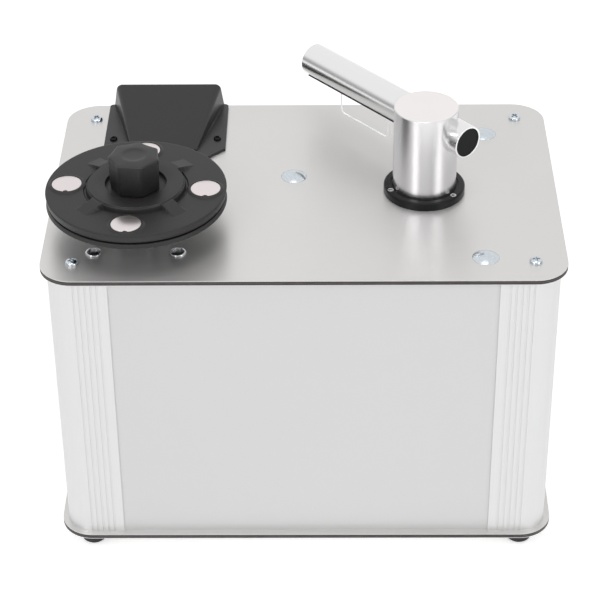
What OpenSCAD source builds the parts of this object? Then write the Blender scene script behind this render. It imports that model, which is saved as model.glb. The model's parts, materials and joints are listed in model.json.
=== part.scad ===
// Record cleaning machine: a box with a driven platter, a clamp and a swinging suction arm.
// The origin is on the surface that the machine stands on, below the middle of the case.
// +X points to the arm's side, +Y to the side that the exhaust hood blows to, +Z up.

/* [Case] */
// Width of the top and bottom plates
case_w = 385; // [375:1:420]
// Depth of the top and bottom plates
case_d = 256; // [252:1:290]
// Height of the walls between the two plates
wall_h = 236; // [232:1:270]
// Corner radius of the plates
plate_r = 25; // [20:1:30]
// Thickness of the dark core of a plate
core_t = 3; // [2:0.5:5]
// Thickness of each metal skin of a plate
skin_t = 0.5; // [0.3:0.1:0.8]
// Distance that the plates stand out past the walls
overhang = 4.7; // [3:0.1:7]
// Distance from the plate's edges to a corner screw
screw_inset = 23.6; // [22:0.1:26]
// Height of a rubber foot
foot_h = 18; // [12:1:24]
// Radius of a rubber foot at the case
foot_r = 10.5; // [9:0.5:14]

/* [Walls] */
// Outer radius of a corner profile
profile_r = 20; // [17:0.5:22]
// Width of a profile's face, from the corner of the walls to the panel
profile_w = 45.4; // [43:0.1:52]
// Wall thickness of a profile
profile_t = 3; // [2.4:0.1:3.6]
// Thickness of the lip that covers a panel's edge
lip_t = 1.2; // [0.8:0.1:2]
// Depth of the slot that holds a panel's edge
slot_d = 6; // [4:0.5:8]
// Number of flutes on each face of a profile
flute_n = 5; // [2:1:5]
// Distance between two flutes
flute_pitch = 4.35; // [3.8:0.05:4.6]
// Width of a flute
flute_w = 1.4; // [0.8:0.1:2]
// Depth of a flute
flute_depth = 0.5; // [0.3:0.1:0.7]
// Thickness of a wall panel
panel_t = 3; // [2:0.1:4]

/* [Platter drive] */
// Distance from the spindle to the plates' left edge
spindle_side = 69.3; // [62.5:0.1:74.5]
// Distance from the spindle to the plates' front edge
spindle_front = 68; // [64:0.5:72]
// Radius of the spindle shaft
shaft_r = 5; // [4:0.5:6]
// Radius of the spindle's threaded tip
tip_r = 3.6; // [3:0.1:4]
// Width of the square gearbox
gearbox_w = 74; // [70:1:82]
// Height of the gearbox under the top plate
gearbox_h = 26; // [24:1:34]
// Distance between two gearbox screws
motor_screw_pitch = 62; // [58:1:64]
// Gear module
gear_m = 0.8; // [0.7:0.05:0.85]
// Teeth of the gear on the spindle
gear_n = 45; // [40:1:46]
// Teeth of the motor pinion
pinion_n = 15; // [12:1:16]
// Radius of the geared motor
motor_r = 21; // [18:0.5:24]
// Length of the geared motor
motor_l = 68; // [55:1:80]

/* [Platter and clamp] */
// Radius of the platter and of the clamp
platter_r = 66.7; // [65.5:0.1:70]
// Height of the platter's underside above the top plate
platter_rise = 26.5; // [22:0.5:32]
// Thickness of the platter
platter_t = 3.5; // [3:0.1:6]
// Radius of the hub below the platter
hub_r = 16; // [13:0.5:20]
// Radius of the rubber mat
mat_r = 60; // [50:0.5:61]
// Thickness of the rubber mat
mat_t = 1.2; // [0.8:0.1:2]
// Thickness of the clamp's disc
clamp_t = 6.4; // [5:0.1:8]
// Radius of the raised ring on the clamp
boss_r = 35.5; // [33:0.5:37]
// Height of the raised ring above the clamp's disc
boss_h = 4; // [3.5:0.1:5]
// Radius of a magnet
magnet_r = 11; // [9:0.5:11.5]
// Thickness of a magnet
magnet_t = 3; // [2.5:0.1:3.3]
// Radius of the circle through the magnets' centres
magnet_circle = 51.5; // [50.5:0.5:52]
// Turn of the clamp at rest
clamp_turn = -4; // [-45:1:45]
// Radius over the corners of the knob
knob_r = 18.5; // [16:0.5:20]
// Height of the knob
knob_h = 26.2; // [20:0.2:32]
// Number of flats on the knob
knob_n = 7; // [6:1:10]

/* [Suction arm] */
// Distance from the arm's post to the plates' right edge
post_side = 100.9; // [97:0.1:105]
// Distance from the arm's post to the plates' front edge
post_front = 123.8; // [120:0.2:132]
// Radius of the post
post_r = 24.2; // [22:0.1:26]
// Wall of the post
post_wall = 3.6; // [3:0.1:4.5]
// Height of the post above the top plate
post_h = 73; // [68:0.5:90]
// Radius of the suction tube
tube_r = 12.7; // [11:0.1:14]
// Wall of the suction tube
tube_wall = 1.4; // [1:0.1:2]
// Distance from the tube up to the post's top
crown_t = 6.4; // [1:0.1:9]
// Distance from the tube's axis sideways to the post's axis
tube_side = 9.3; // [0:0.1:9.5]
// Length of the tube on the record's side of the post
tube_reach = 139; // [130:0.5:150]
// Length of the tube on the other side of the post
tube_tail = 35.5; // [33:0.5:45]
// Direction in which the parked arm points
arm_turn = 131.1; // [100:0.1:160]
// Radius of the flange round the post
flange_r = 31; // [30.5:0.1:34]
// Height of the flange round the post
flange_h = 6.3; // [5:0.1:9]
// Way that the suction pulls the arm down
arm_travel = 9.3; // [6:0.1:14]
// Depth of the guard blade under the tube
guard_drop = 21; // [14:0.5:24]

/* [Fluid tank] */
// Radius of the tank
tank_r = 80; // [70:1:84]
// Depth of the tank
tank_h = 130; // [100:1:138]
// Wall of the tank
tank_wall = 2.5; // [2:0.1:3.5]
// Radius of the circle through the three tank bolts
bolt_circle = 101; // [100:0.5:103]
// Radius of a tank bolt's domed head
bolt_head_r = 10; // [9:0.5:12]
// Radius of a tank bolt
bolt_r = 4; // [3:0.5:4.5]

/* [Vacuum unit] */
// Radius of the fan housing
fan_r = 48; // [42:1:50]
// Height of the fan housing
fan_h = 30; // [24:1:36]
// Radius of the vacuum motor
vac_r = 38; // [34:0.5:40]
// Height of the vacuum motor
vac_h = 72; // [60:1:80]
// Height of the shelf above the bottom plate
shelf_h = 60; // [56:1:70]
// Outer radius of the air hose
hose_r = 13; // [12:0.5:14]

/* [Exhaust hood] */
// Distance from the hood's middle to the plates' left edge
hood_side = 81.5; // [78.5:0.5:86.5]
// Distance from the hood to the plate's rear edge
hood_inset = 2.3; // [1:0.1:5]
// Width of the hood's flange
hood_w = 96.4; // [94:0.2:104]
// Length of the hood's flange
hood_l = 86; // [82:0.5:92]
// Thickness of the hood's flange and walls
hood_t = 2.5; // [2:0.1:3]
// Height of the hood's mouth
hood_rise = 21; // [16:0.5:28]
// Width of the scoop at its mouth
scoop_w = 85; // [78:0.5:87]
// Width of the scoop at its low end
scoop_w_low = 52; // [46:0.5:60]

/* [Controls and outlets] */
// Width of a rocker switch's rim
switch_w = 21; // [18:0.5:24]
// Height of a rocker switch's rim
switch_l = 30; // [26:0.5:34]
// Distance from the switches to the front wall
switch_front = 59.3; // [57.3:0.5:61.3]
// Distance of the upper switch below the top plate
switch_drop = 42; // [34:1:50]
// Distance between the two switches
switch_pitch = 44; // [38:1:50]
// Angle of a rocker off its middle
rocker_tilt = 8; // [5:0.5:10]
// Distance from the mains inlet to the right wall
inlet_side = 69.8; // [67.8:0.5:75.8]
// Height of the mains inlet above the bottom plate
inlet_z = 40; // [34:1:46]
// Radius of the drain's bore
drain_r = 5; // [4:0.5:6]

/* [Fits] */
// Gap between two pieces that move past each other
move_gap = 0.3; // [0.25:0.05:0.4]
// Radial clearance of a shaft in its bearing
run_gap = 0.05; // [0.03:0.01:0.08]
// Clearance between fixed pieces
fit_gap = 0.1; // [0.05:0.05:0.2]

/* [Hidden] */
$fn = 72;

// Levels of the case, from the ground up
plate_t = core_t + 2 * skin_t;
z_floor = foot_h + plate_t;
z_roof = z_floor + wall_h;
z_deck = z_roof + plate_t;

// Outer faces of the walls, and the faces of the panels in their slots
wall_x = case_w / 2 - overhang;
wall_y = case_d / 2 - overhang;
panel_x = wall_x - lip_t - fit_gap;
panel_y = wall_y - lip_t - fit_gap;
inner_x = panel_x - panel_t;
inner_y = panel_y - panel_t;
slot_w = panel_t + 2 * fit_gap;
back_lip_t = 2;
slot_end_gap = 0.4;
flute_first = slot_d + 0.7;

// Places on the plates and walls, measured from their edges
spindle_x = spindle_side - case_w / 2;
spindle_y = spindle_front - case_d / 2;
post_x = case_w / 2 - post_side;
post_y = post_front - case_d / 2;
hood_x = hood_side - case_w / 2;
switch_y = wall_y - switch_front;
inlet_x = wall_x - inlet_side;

// Screws of the case
screw_x = case_w / 2 - screw_inset;
screw_y = case_d / 2 - screw_inset;
channel_r = 2;
channel_wall = 3.5;
case_screw_r = channel_r - fit_gap;
case_head_r = 4.8;
case_head_h = 3.4;
case_screw_l = 16;
web_t = 2.4;

// Rubber feet
foot_taper = 1;
foot_round = 1.5;
foot_web = 8;
foot_pocket_r = case_head_r + 1;

// Gearbox and geared motor
gearbox_wall = 4;
gearbox_roof = 5;
gearbox_round = 5;
gearbox_post_r = 6;
cover_t = 3;
gearbox_screw_r = 2.4;
gearbox_head_r = 6.2;
gearbox_head_h = 3;
upper_bush_r = 11;
upper_collar_r = 14;
upper_collar_h = 2;
lower_bush_r = 8;
bush_stand = 2;
gear_face = 8;
gear_hub_r = 9;
gear_hub_h = 5;
gear_spread = gear_m * (gear_n + pinion_n) / 2;
z_gear = z_roof - gearbox_roof - bush_stand - 1 - gear_face;
z_cover = z_roof - gearbox_h - cover_t;
motor_wall = 1.5;
motor_end = 3;
motor_shaft_r = 2.5;
motor_nose_r = 6;

// Platter and clamp
z_platter = z_deck + platter_rise;
z_mat = z_platter + platter_t;
z_record = z_mat + mat_t;
record_gap = 0.4;
z_clamp = z_record + record_gap;
tip_l = 22.5;
hub_lift = 0.5;
hub_plate_r = hub_r + 8;
hub_plate_t = 4;
mat_hole_r = 8;
rim_slope = 0.9;
rim_round = 0.8;
hollow_h = 1;
hollow_in_r = 18.5;
hollow_out_r = platter_r - 2.7;
seal_w = 2.9;
boss_slope = 1.2;
boss_round = 0.9;
knob_pocket_r = knob_r + 4.1;
knob_pocket_d = 3;
neck_r = 10;
insert_r = 7;
insert_top = 24;
retainer_r = 14.5;
retainer_t = 1.5;
retainer_room_r = 15.5;
retainer_room_h = 2.6;
pocket_rim = 1;
magnet_stand = 1.2;
magnet_sink = 0.3;
magnet_z = clamp_t + magnet_stand - magnet_sink - magnet_t;
ramp_w = 12;
ramp_reach = 51;
ramp_turn = 47;
knob_floor = clamp_t + boss_h - knob_pocket_d;
knob_z = knob_floor + move_gap;
knob_hollow = 0.4;
knob_chamfer = 1.5;
dish_r = 7.7;
dish_depth = 0.6;

// Arm post, its bearing and the tube
flange_round = 1.5;
flange_ring_r = post_r + 2;
flange_ring_d = 1;
flange_bore_r = post_r + move_gap;
flange_screw_circle = post_r + 3.4;
flange_screw_n = 3;
flange_screw_turn = 80.5;
flange_screw_r = 1.5;
flange_head_r = 2.4;
flange_head_gap = 0.4;
flange_head_h = 2.2;
bearing_l = 58;
bearing_top = 12;
sleeve_wall = 4.3;
sleeve_in_r = post_r + run_gap;
sleeve_r = sleeve_in_r + sleeve_wall;
bearing_in_r = sleeve_r + run_gap;
bearing_r = bearing_in_r + 4.4;
cap_t = 4;
collar_r = 20;
collar_in_r = 18;
collar_l = 8;
ledge_t = 3;
post_tail = 26;
post_roof = crown_t + 2;
post_chamfer = 0.6;
key_w = 4;
key_out = 2.2;
key_l = 10;
z_bearing = z_roof - bearing_l;
z_post = z_roof - post_tail;
z_key = z_roof - bearing_top - move_gap;
z_ledge = z_bearing + move_gap + ledge_t;
spring_wire_r = 1.1;
spring_r = post_r - 2;
spring_turns = 5;
tube_z = z_deck + post_h - crown_t - tube_r;
tube_in_r = tube_r - tube_wall;
tube_slot_w = 5;
tube_slot_start = post_r + 13;
tube_slot_end = tube_reach - 7.5;
plug_t = 6;
plug_inset = 0.8;
felt_t = 0.9;
felt_start = post_r + 1.5;
felt_end = tube_reach - 4;
felt_in = 14;
felt_out = 44;
felt_half = (tube_r + felt_t) * sin((felt_out - felt_in) / 2);
guard_t = 1.6;
guard_start = post_r + 27;
guard_tab = 54.5;
guard_strip = 2.2;
guard_round = 4;
guard_lug = 4;

// Fluid tank below the arm
tank_left = 1.5;
tank_fore = 2.2;
tank_x = post_x - tank_left;
tank_y = post_y - tank_fore;
tank_rim = 8;
tank_base = 3;
lid_t = 4;
lug_r = 10;
bolt_turns = [167, 59, -65];
bolt_head_h = 3.2;
bolt_neck = 8;
bolt_tail = 2;
rim_t = 4;
gasket_t = 2;
gasket_over = 4;
spacer_r = bolt_r + 3;
nut_r = bolt_r + 3.5;
nut_t = 6.5;
washer_r = bolt_r + 5;
washer_t = 1.5;
z_lid = z_bearing - cap_t - collar_l + lid_t;
z_rim = z_lid - lid_t - gasket_t;
z_tank = z_rim - tank_h;
pipe_r = hose_r - 2;
pipe_wall = 2;
elbow_bend = 16;
elbow_side = 24;
elbow_back = 50;
elbow_x = tank_x - elbow_side;
elbow_y = tank_y + elbow_back;
elbow_rise = 6;
elbow_l = 12;
z_elbow = z_lid + elbow_rise + elbow_bend;
drain_x = tank_x - 30;
drain_wall = 2;
z_drain = z_tank + tank_base + drain_r + drain_wall + 1;
drain_flange_r = drain_r + 9;
drain_flange_t = 2.5;
drain_nut_r = drain_r + 7;
drain_nut_t = 6;
drain_back = 8;
stopper_head_r = drain_r + 3;
stopper_head_t = 3;
stopper_l = 9;

// Vacuum unit below the hood
fan_wall_gap = 3;
shelf_t = 4;
shelf_margin = 12;
shelf_edge = 1.5;
pillar_r = 5;
pillar_out = 5;
fan_wall = 2.5;
vac_wall = 2;
vac_x = hood_x;
vac_y = inner_y - fan_wall_gap - fan_r - 2;
z_shelf = z_floor + shelf_h;
z_fan = z_shelf + shelf_t;
z_vac = z_fan + fan_h;
z_duct = z_vac + vac_h;
vac_shaft_r = 4;
vent_r = 4;
vent_n = 8;
vent_circle = 31;
vac_end = 3;
vac_space = 8;
stator_in_r = 26;
blade_n = 9;
blade_h = 12;
disc_t = 2;
duct_over = 1;
spigot_l = 14;
intake_drop = 38;
intake_z = z_shelf - intake_drop;
z_spigot = z_shelf - spigot_l;
hose_wall = 1.4;
hose_overlap = 9;
hose_fall = 28;
hose_turn = 24;
hose_run = 30;
hose_bend = 22;
hose_step = 2;
tank_edge_x = tank_x - sqrt((tank_r + tank_rim) ^ 2 - elbow_back ^ 2);
lane_x = (tank_edge_x + vac_x + fan_r + shelf_margin) / 2;

// Exhaust hood and the opening below it
hood_y = case_d / 2 - hood_inset;
hood_chamfer = 16;
hood_round = 3;
scoop_l = 75;
scoop_low = 4;
scoop_round = 5;
scoop_lean = 2.5;
skirt_w = 1.5;
skirt_h = 3;
exhaust_w = 52;
exhaust_l = 40;
exhaust_y = vac_y + 6;
hood_screw_x = hood_w / 2 - 6.9;
hood_screw_y = 56;
hood_screw_r = 1.5;
hood_head_r = 3;
hood_head_h = 2.2;

// Switches on the right wall
switch_rim_t = 2;
switch_rim = 3;
switch_body = 20;
switch_edge = 2;
rocker_back = 5;
rocker_face = 2;
rocker_mid = 0.8;
rocker_pivot = 3;
rocker_pin_r = 1.5;
rocker_room = 8;
terminal_l = 6;
terminal_w = 5;
terminal_t = 0.8;
rocker_half_l = switch_l / 2 - switch_rim - 1;
rocker_half_w = switch_w / 2 - switch_rim - move_gap;
z_switch_top = z_roof - switch_drop;
z_switch_low = z_switch_top - switch_pitch;

// Mains inlet on the rear wall
inlet_w = 48;
inlet_h = 36;
inlet_rim_t = 2.5;
inlet_rim = 3;
inlet_depth = 26;
socket_w = 24;
socket_h = 16;
socket_d = 18;
drawer_w = 24;
drawer_h = 7;
drawer_l = 20;
drawer_gap = 2;
drawer_lip = 1.5;
socket_z = -5;
pin_pitch = 7;
pin_w = 2;
z_inlet = z_floor + inlet_z;

// Control board on the floor
board_w = 90;
board_l = 60;
board_t = 1.6;
board_side = 38.5;
board_front = 19;
board_lift = 8;
board_x = board_side + board_w / 2 - inner_x;
board_y = board_front + board_l / 2 - inner_y;
z_board = z_floor + board_lift;
stand_off_r = 3;
stand_off_inset = 5;
solder_t = 0.1;
transformer_w = 32;
transformer_l = 26;
transformer_h = 24;
capacitor_r = 9;
capacitor_h = 22;
relay_w = 16;
relay_l = 14;
relay_h = 12;
terminal_row = 38;
terminal_depth = 12;
terminal_rise = 11;
transformer_x = board_x - board_w / 2 + 7;
transformer_y = board_y - board_l / 2 + 8;
capacitor_x = board_x + board_w / 2 - 41;
capacitor_y = board_y + board_l / 2 - 22;
relay_x = board_x + board_w / 2 - 23;
relay_y = board_y + board_l / 2 - 24;
terminal_x = board_x + board_w / 2 - 43;
terminal_y = board_y - board_l / 2 + 6;

// Wires
wire_r = 2.4;
wire_lead = 6;
wire_bend = 8;
wire_fall = 24;
wire_side = 28;
wire_swing = 40;

// Shared shapes
module rounded_square(w, d, r) {
  square([w - 2 * r, d], center = true);
  square([w, d - 2 * r], center = true);
  for (sx = [-1, 1])
    for (sy = [-1, 1])
      translate([sx * (w / 2 - r), sy * (d / 2 - r)])
        circle(r);
}

module pipe(r, wall, h) {
  difference() {
    cylinder(r = r, h = h);
    translate([0, 0, -1])
      cylinder(r = r - wall, h = h + 2);
  }
}

// A shallow cap of a sphere on a round base
module dome(r, h) {
  ball = (r * r + h * h) / (2 * h);
  intersection() {
    translate([0, 0, h - ball])
      sphere(ball);
    cylinder(r = r, h = h);
  }
}

module at_corners(x, y) {
  for (sx = [-1, 1])
    for (sy = [-1, 1])
      translate([sx * x, sy * y, 0])
        children();
}

module at_spindle(z) {
  translate([spindle_x, spindle_y, z])
    children();
}

module at_motor(z) {
  translate([spindle_x, spindle_y + gear_spread, z])
    children();
}

module at_post(z) {
  translate([post_x, post_y, z])
    children();
}

module at_tank_bolts(z) {
  for (turn = bolt_turns)
    translate([tank_x + bolt_circle * cos(turn), tank_y + bolt_circle * sin(turn), z])
      children();
}

module at_flange_screws(z) {
  for (i = [0 : flange_screw_n - 1])
    at_post(z)
      rotate([0, 0, flange_screw_turn + 360 * i / flange_screw_n])
        translate([flange_screw_circle, 0, 0])
          children();
}

module at_hood_screws(z) {
  for (side = [-1, 1])
    translate([hood_x + side * hood_screw_x, hood_y - hood_screw_y, z])
      children();
}

// Places the tube's shapes: X along the tube from the post axis, Z up
module along_arm() {
  translate([post_x, post_y, tube_z])
    rotate([0, 0, arm_turn])
      translate([0, -tube_side, 0])
        children();
}

function between(a, b, share) = a + (b - a) * share;

// A smooth path through points, and a tube with flat sides along it
function smooth_at(p, t) = let(
  n = len(p) - 1,
  i = min(floor(t), n - 1),
  f = t - i,
  a = p[max(i - 1, 0)],
  b = p[i],
  c = p[i + 1],
  d = p[min(i + 2, n)])
  0.5 * (2 * b + (c - a) * f + (2 * a - 5 * b + 4 * c - d) * f * f
    + (3 * b - a - 3 * c + d) * f * f * f);

function smooth_path(p, steps) = [for (k = [0 : (len(p) - 1) * steps]) smooth_at(p, k / steps)];

// The same path with its first and last stretch left straight
function straight_ended(p, steps) = concat(
  [p[0]],
  smooth_path([for (i = [1 : len(p) - 2]) p[i]], steps),
  [p[len(p) - 1]]);

function unit(v) = v / norm(v);

function tangent(path, i) = unit(path[min(i + 1, len(path) - 1)] - path[max(i - 1, 0)]);

// Carries the first side direction along the path so that the tube doesn't twist
function side_dirs(path, i, dir) = let(
  t = tangent(path, i),
  side = unit(dir - (dir * t) * t))
  i == len(path) - 1 ? [side] : concat([side], side_dirs(path, i + 1, side));

function ring_points(path, r, sides, dir) = let(dirs = side_dirs(path, 0, dir))
  [for (i = [0 : len(path) - 1]) for (k = [0 : sides - 1]) let(
    t = tangent(path, i),
    u = dirs[i],
    v = cross(t, u),
    a = 360 * k / sides)
    path[i] + r * cos(a) * u + r * sin(a) * v];

function side_faces(rings, sides, first, flip) = [
  for (i = [0 : rings - 2]) for (k = [0 : sides - 1]) let(
    a = first + i * sides + k,
    b = first + i * sides + (k + 1) % sides,
    c = b + sides,
    d = a + sides)
    each flip ? [[a, d, b], [b, d, c]] : [[a, b, d], [b, c, d]]];

module swept_rod(path, r, sides, dir) {
  rings = len(path);
  last = (rings - 1) * sides;
  caps = [
    [for (k = [0 : sides - 1]) sides - 1 - k],
    [for (k = [0 : sides - 1]) last + k]];
  polyhedron(ring_points(path, r, sides, dir),
    concat(caps, side_faces(rings, sides, 0, false)));
}

module swept_hose(path, r, wall, sides, dir) {
  rings = len(path);
  inner = rings * sides;
  last = (rings - 1) * sides;
  rims = [for (k = [0 : sides - 1]) let(n = (k + 1) % sides)
    each [[k, inner + k, n], [n, inner + k, inner + n],
      [last + k, last + n, inner + last + k],
      [last + n, inner + last + n, inner + last + k]]];
  polyhedron(
    concat(ring_points(path, r, sides, dir), ring_points(path, r - wall, sides, dir)),
    concat(side_faces(rings, sides, 0, false), side_faces(rings, sides, inner, true), rims));
}

// Case
module deck_cuts() {
  at_corners(screw_x, screw_y)
    cylinder(r = case_screw_r + fit_gap, h = plate_t + 2);
  at_spindle(0)
    cylinder(r = upper_bush_r + fit_gap, h = plate_t + 2);
  at_spindle(0)
    at_corners(motor_screw_pitch / 2, motor_screw_pitch / 2)
      cylinder(r = gearbox_screw_r + fit_gap, h = plate_t + 2);
  at_post(0)
    cylinder(r = flange_bore_r, h = plate_t + 2);
  at_flange_screws(0)
    cylinder(r = flange_screw_r + fit_gap, h = plate_t + 2);
  at_tank_bolts((plate_t + 2) / 2)
    cube([bolt_neck + 2 * fit_gap, bolt_neck + 2 * fit_gap, plate_t + 2], center = true);
  at_hood_screws(0)
    cylinder(r = hood_screw_r + fit_gap, h = plate_t + 2);
  translate([hood_x, exhaust_y, 0])
    linear_extrude(plate_t + 2)
      rounded_square(exhaust_w, exhaust_l, hood_round);
}

module base_cuts() {
  at_corners(screw_x, screw_y)
    cylinder(r = case_screw_r + fit_gap, h = plate_t + 2);
}

module plate_skins(z) {
  difference() {
    for (layer = [0, core_t + skin_t])
      translate([0, 0, z + layer])
        linear_extrude(skin_t)
          rounded_square(case_w, case_d, plate_r);
    translate([0, 0, z - 1])
      children();
  }
}

module plate_core(z) {
  difference() {
    translate([0, 0, z + skin_t])
      linear_extrude(core_t)
        rounded_square(case_w, case_d, plate_r);
    translate([0, 0, z - 1])
      children();
  }
}

module top_plate_skins() {
  color("#CFCFCE")
    plate_skins(z_roof)
      deck_cuts();
}

module top_plate_core() {
  color("#4A4545")
    plate_core(z_roof)
      deck_cuts();
}

module bottom_plate_skins() {
  color("#CFCFCE")
    plate_skins(foot_h)
      base_cuts();
}

module bottom_plate_core() {
  color("#4A4545")
    plate_core(foot_h)
      base_cuts();
}

// One wall of a corner profile: face, fluting and the slot for a panel, for X below 0
module profile_wing() {
  block = slot_d + back_lip_t;
  difference() {
    union() {
      translate([-profile_w, -profile_t])
        square([profile_w - profile_r, profile_t]);
      translate([-profile_w, -lip_t - slot_w - back_lip_t])
        square([block, lip_t + slot_w + back_lip_t]);
    }
    translate([-profile_w - 1, -lip_t - slot_w])
      square([slot_d + 1, slot_w]);
    for (i = [0 : flute_n - 1])
      translate([flute_first + i * flute_pitch - profile_w, -flute_depth])
        square([flute_w, 2 * flute_depth]);
  }
}

// Section of a corner profile with its outer corner at the origin
module profile_section() {
  channel = screw_inset - overhang;
  web_l = profile_r - profile_t / 2 - (profile_r - channel) * sqrt(2);
  difference() {
    union() {
      profile_wing();
      mirror([1, -1])
        profile_wing();
      intersection() {
        translate([-profile_r, -profile_r])
          difference() {
            circle(profile_r);
            circle(profile_r - profile_t);
          }
        translate([-profile_r, -profile_r])
          square([profile_r, profile_r]);
      }
      translate([-channel, -channel])
        circle(channel_r + channel_wall);
      translate([-channel, -channel])
        rotate([0, 0, 45])
          translate([0, -web_t / 2])
            square([web_l, web_t]);
    }
    translate([-channel, -channel])
      circle(channel_r);
  }
}

module profile_pair(side_y) {
  for (side_x = [0, 1])
    mirror([side_x, 0, 0])
      mirror([0, side_y, 0])
        translate([wall_x, wall_y, z_floor])
          linear_extrude(wall_h)
            profile_section();
}

module front_corner_profiles() {
  color("#E2E2E2")
    profile_pair(1);
}

module rear_corner_profiles() {
  color("#E2E2E2")
    profile_pair(0);
}

// A panel whose edges stand in the slots of two profiles, with its outer face at Y 0
module wall_panel(half_wall) {
  half = half_wall - profile_w + slot_d - slot_end_gap;
  translate([-half, 0, z_floor])
    cube([2 * half, panel_t, wall_h]);
}

module front_panel() {
  color("#DCDCDC")
    translate([0, -panel_y, 0])
      wall_panel(wall_x);
}

module rear_panel() {
  color("#DCDCDC")
    difference() {
      translate([0, inner_y, 0])
        wall_panel(wall_x);
      translate([drain_x, inner_y - 1, z_drain])
        rotate([-90, 0, 0])
          cylinder(r = drain_r + drain_wall + fit_gap, h = panel_t + 2);
      translate([inlet_x, panel_y - panel_t / 2, z_inlet])
        cube([inlet_w - 2 * inlet_rim + 2 * fit_gap, panel_t + 2,
          inlet_h - 2 * inlet_rim + 2 * fit_gap], center = true);
    }
}

module left_panel() {
  color("#DCDCDC")
    rotate([0, 0, 90])
      translate([0, inner_x, 0])
        wall_panel(wall_y);
}

module right_panel() {
  hole_w = switch_w - 2 * switch_edge + 2 * fit_gap;
  hole_l = switch_l - 2 * switch_edge + 2 * fit_gap;
  color("#DCDCDC")
    difference() {
      rotate([0, 0, -90])
        translate([0, inner_x, 0])
          wall_panel(wall_y);
      for (z = [z_switch_top, z_switch_low])
        translate([panel_x - panel_t / 2, -switch_y, z])
          cube([panel_t + 2, hole_w, hole_l], center = true);
    }
}

module rubber_feet() {
  color("#242424")
    at_corners(screw_x, screw_y)
      rotate_extrude()
        polygon([
          [foot_pocket_r, 0],
          [foot_r - foot_taper - foot_round, 0],
          [foot_r - foot_taper, foot_round],
          [foot_r, foot_h],
          [case_screw_r + fit_gap, foot_h],
          [case_screw_r + fit_gap, foot_h - foot_web],
          [foot_pocket_r, foot_h - foot_web]]);
}

// A domed screw with a cross recess, its head above Z 0
module cross_screw(r, head_r, head_h, length) {
  difference() {
    union() {
      dome(head_r, head_h);
      translate([0, 0, -length])
        cylinder(r = r, h = length);
    }
    for (turn = [0, 90])
      rotate([0, 0, turn])
        translate([0, 0, head_h])
          cube([head_r, head_r / 4, head_h], center = true);
  }
}

module case_screws() {
  color("#D8D8DA") {
    at_corners(screw_x, screw_y)
      translate([0, 0, z_deck])
        cross_screw(case_screw_r, case_head_r, case_head_h, case_screw_l);
    at_corners(screw_x, screw_y)
      translate([0, 0, foot_h - foot_web])
        mirror([0, 0, 1])
          cross_screw(case_screw_r, case_head_r, case_head_h, case_screw_l + foot_web);
  }
}

// Platter drive
module gearbox_plan() {
  rounded_square(gearbox_w, gearbox_w, gearbox_round);
}

module gearbox_housing() {
  cavity = gearbox_w - 2 * gearbox_wall;
  color("#9A9C9E")
    at_spindle(z_roof - gearbox_h)
      difference() {
        linear_extrude(gearbox_h)
          gearbox_plan();
        translate([0, 0, -1])
          linear_extrude(gearbox_h - gearbox_roof + 1)
            difference() {
              square([cavity, cavity], center = true);
              for (sx = [-1, 1])
                for (sy = [-1, 1])
                  translate([sx, sy] * motor_screw_pitch / 2)
                    circle(gearbox_post_r);
            }
        cylinder(r = upper_bush_r + fit_gap, h = gearbox_h + 1);
        at_corners(motor_screw_pitch / 2, motor_screw_pitch / 2)
          translate([0, 0, gearbox_wall])
            cylinder(r = gearbox_screw_r + fit_gap, h = gearbox_h);
      }
}

module gearbox_cover() {
  color("#8E9092")
    difference() {
      at_spindle(z_cover)
        linear_extrude(cover_t)
          gearbox_plan();
      at_spindle(z_cover - 1)
        cylinder(r = lower_bush_r + fit_gap, h = cover_t + 2);
      at_motor(z_cover - 1)
        cylinder(r = motor_nose_r + fit_gap, h = cover_t + 2);
    }
}

// A round-headed screw with a hexagonal socket, its head above Z 0
module socket_screw(r, head_r, head_h, length) {
  difference() {
    union() {
      dome(head_r, head_h);
      translate([0, 0, -length])
        cylinder(r = r, h = length);
    }
    translate([0, 0, head_h * 0.4])
      cylinder(r = head_r * 0.6, h = head_h, $fn = 6);
  }
}

module socket_screws() {
  color("#C9C9CB") {
    at_spindle(z_deck)
      at_corners(motor_screw_pitch / 2, motor_screw_pitch / 2)
        socket_screw(gearbox_screw_r, gearbox_head_r, gearbox_head_h,
          plate_t + gearbox_h - gearbox_wall - 1);
    at_flange_screws(z_deck + flange_h - flange_head_h)
      difference() {
        union() {
          cylinder(r = flange_head_r, h = flange_head_h);
          translate([0, 0, -flange_h - plate_t])
            cylinder(r = flange_screw_r, h = flange_h + plate_t);
        }
        translate([0, 0, flange_head_h / 2])
          cylinder(r = flange_head_r * 0.55, h = flange_head_h, $fn = 6);
      }
  }
}

module spindle_bearings() {
  upper_l = bush_stand + gearbox_roof + plate_t + upper_collar_h;
  color("#B08D57")
    difference() {
      union() {
        at_spindle(z_roof - gearbox_roof - bush_stand)
          cylinder(r = upper_bush_r, h = upper_l);
        at_spindle(z_deck)
          cylinder(r = upper_collar_r, h = upper_collar_h);
        at_spindle(z_cover)
          cylinder(r = lower_bush_r, h = cover_t + bush_stand);
      }
      at_spindle(z_cover - 1)
        cylinder(r = shaft_r + run_gap, h = platter_rise + gearbox_h);
    }
}

module motor_can() {
  color("#A8AAAD")
    difference() {
      union() {
        at_motor(z_cover - motor_l)
          cylinder(r = motor_r, h = motor_l);
        at_motor(z_cover)
          cylinder(r = motor_nose_r, h = cover_t);
      }
      at_motor(z_cover - motor_l + motor_end)
        cylinder(r = motor_r - motor_wall, h = motor_l - 2 * motor_end);
      at_motor(z_cover - motor_end - 1)
        cylinder(r = motor_shaft_r + run_gap, h = motor_end + cover_t + 2);
    }
}

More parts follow.
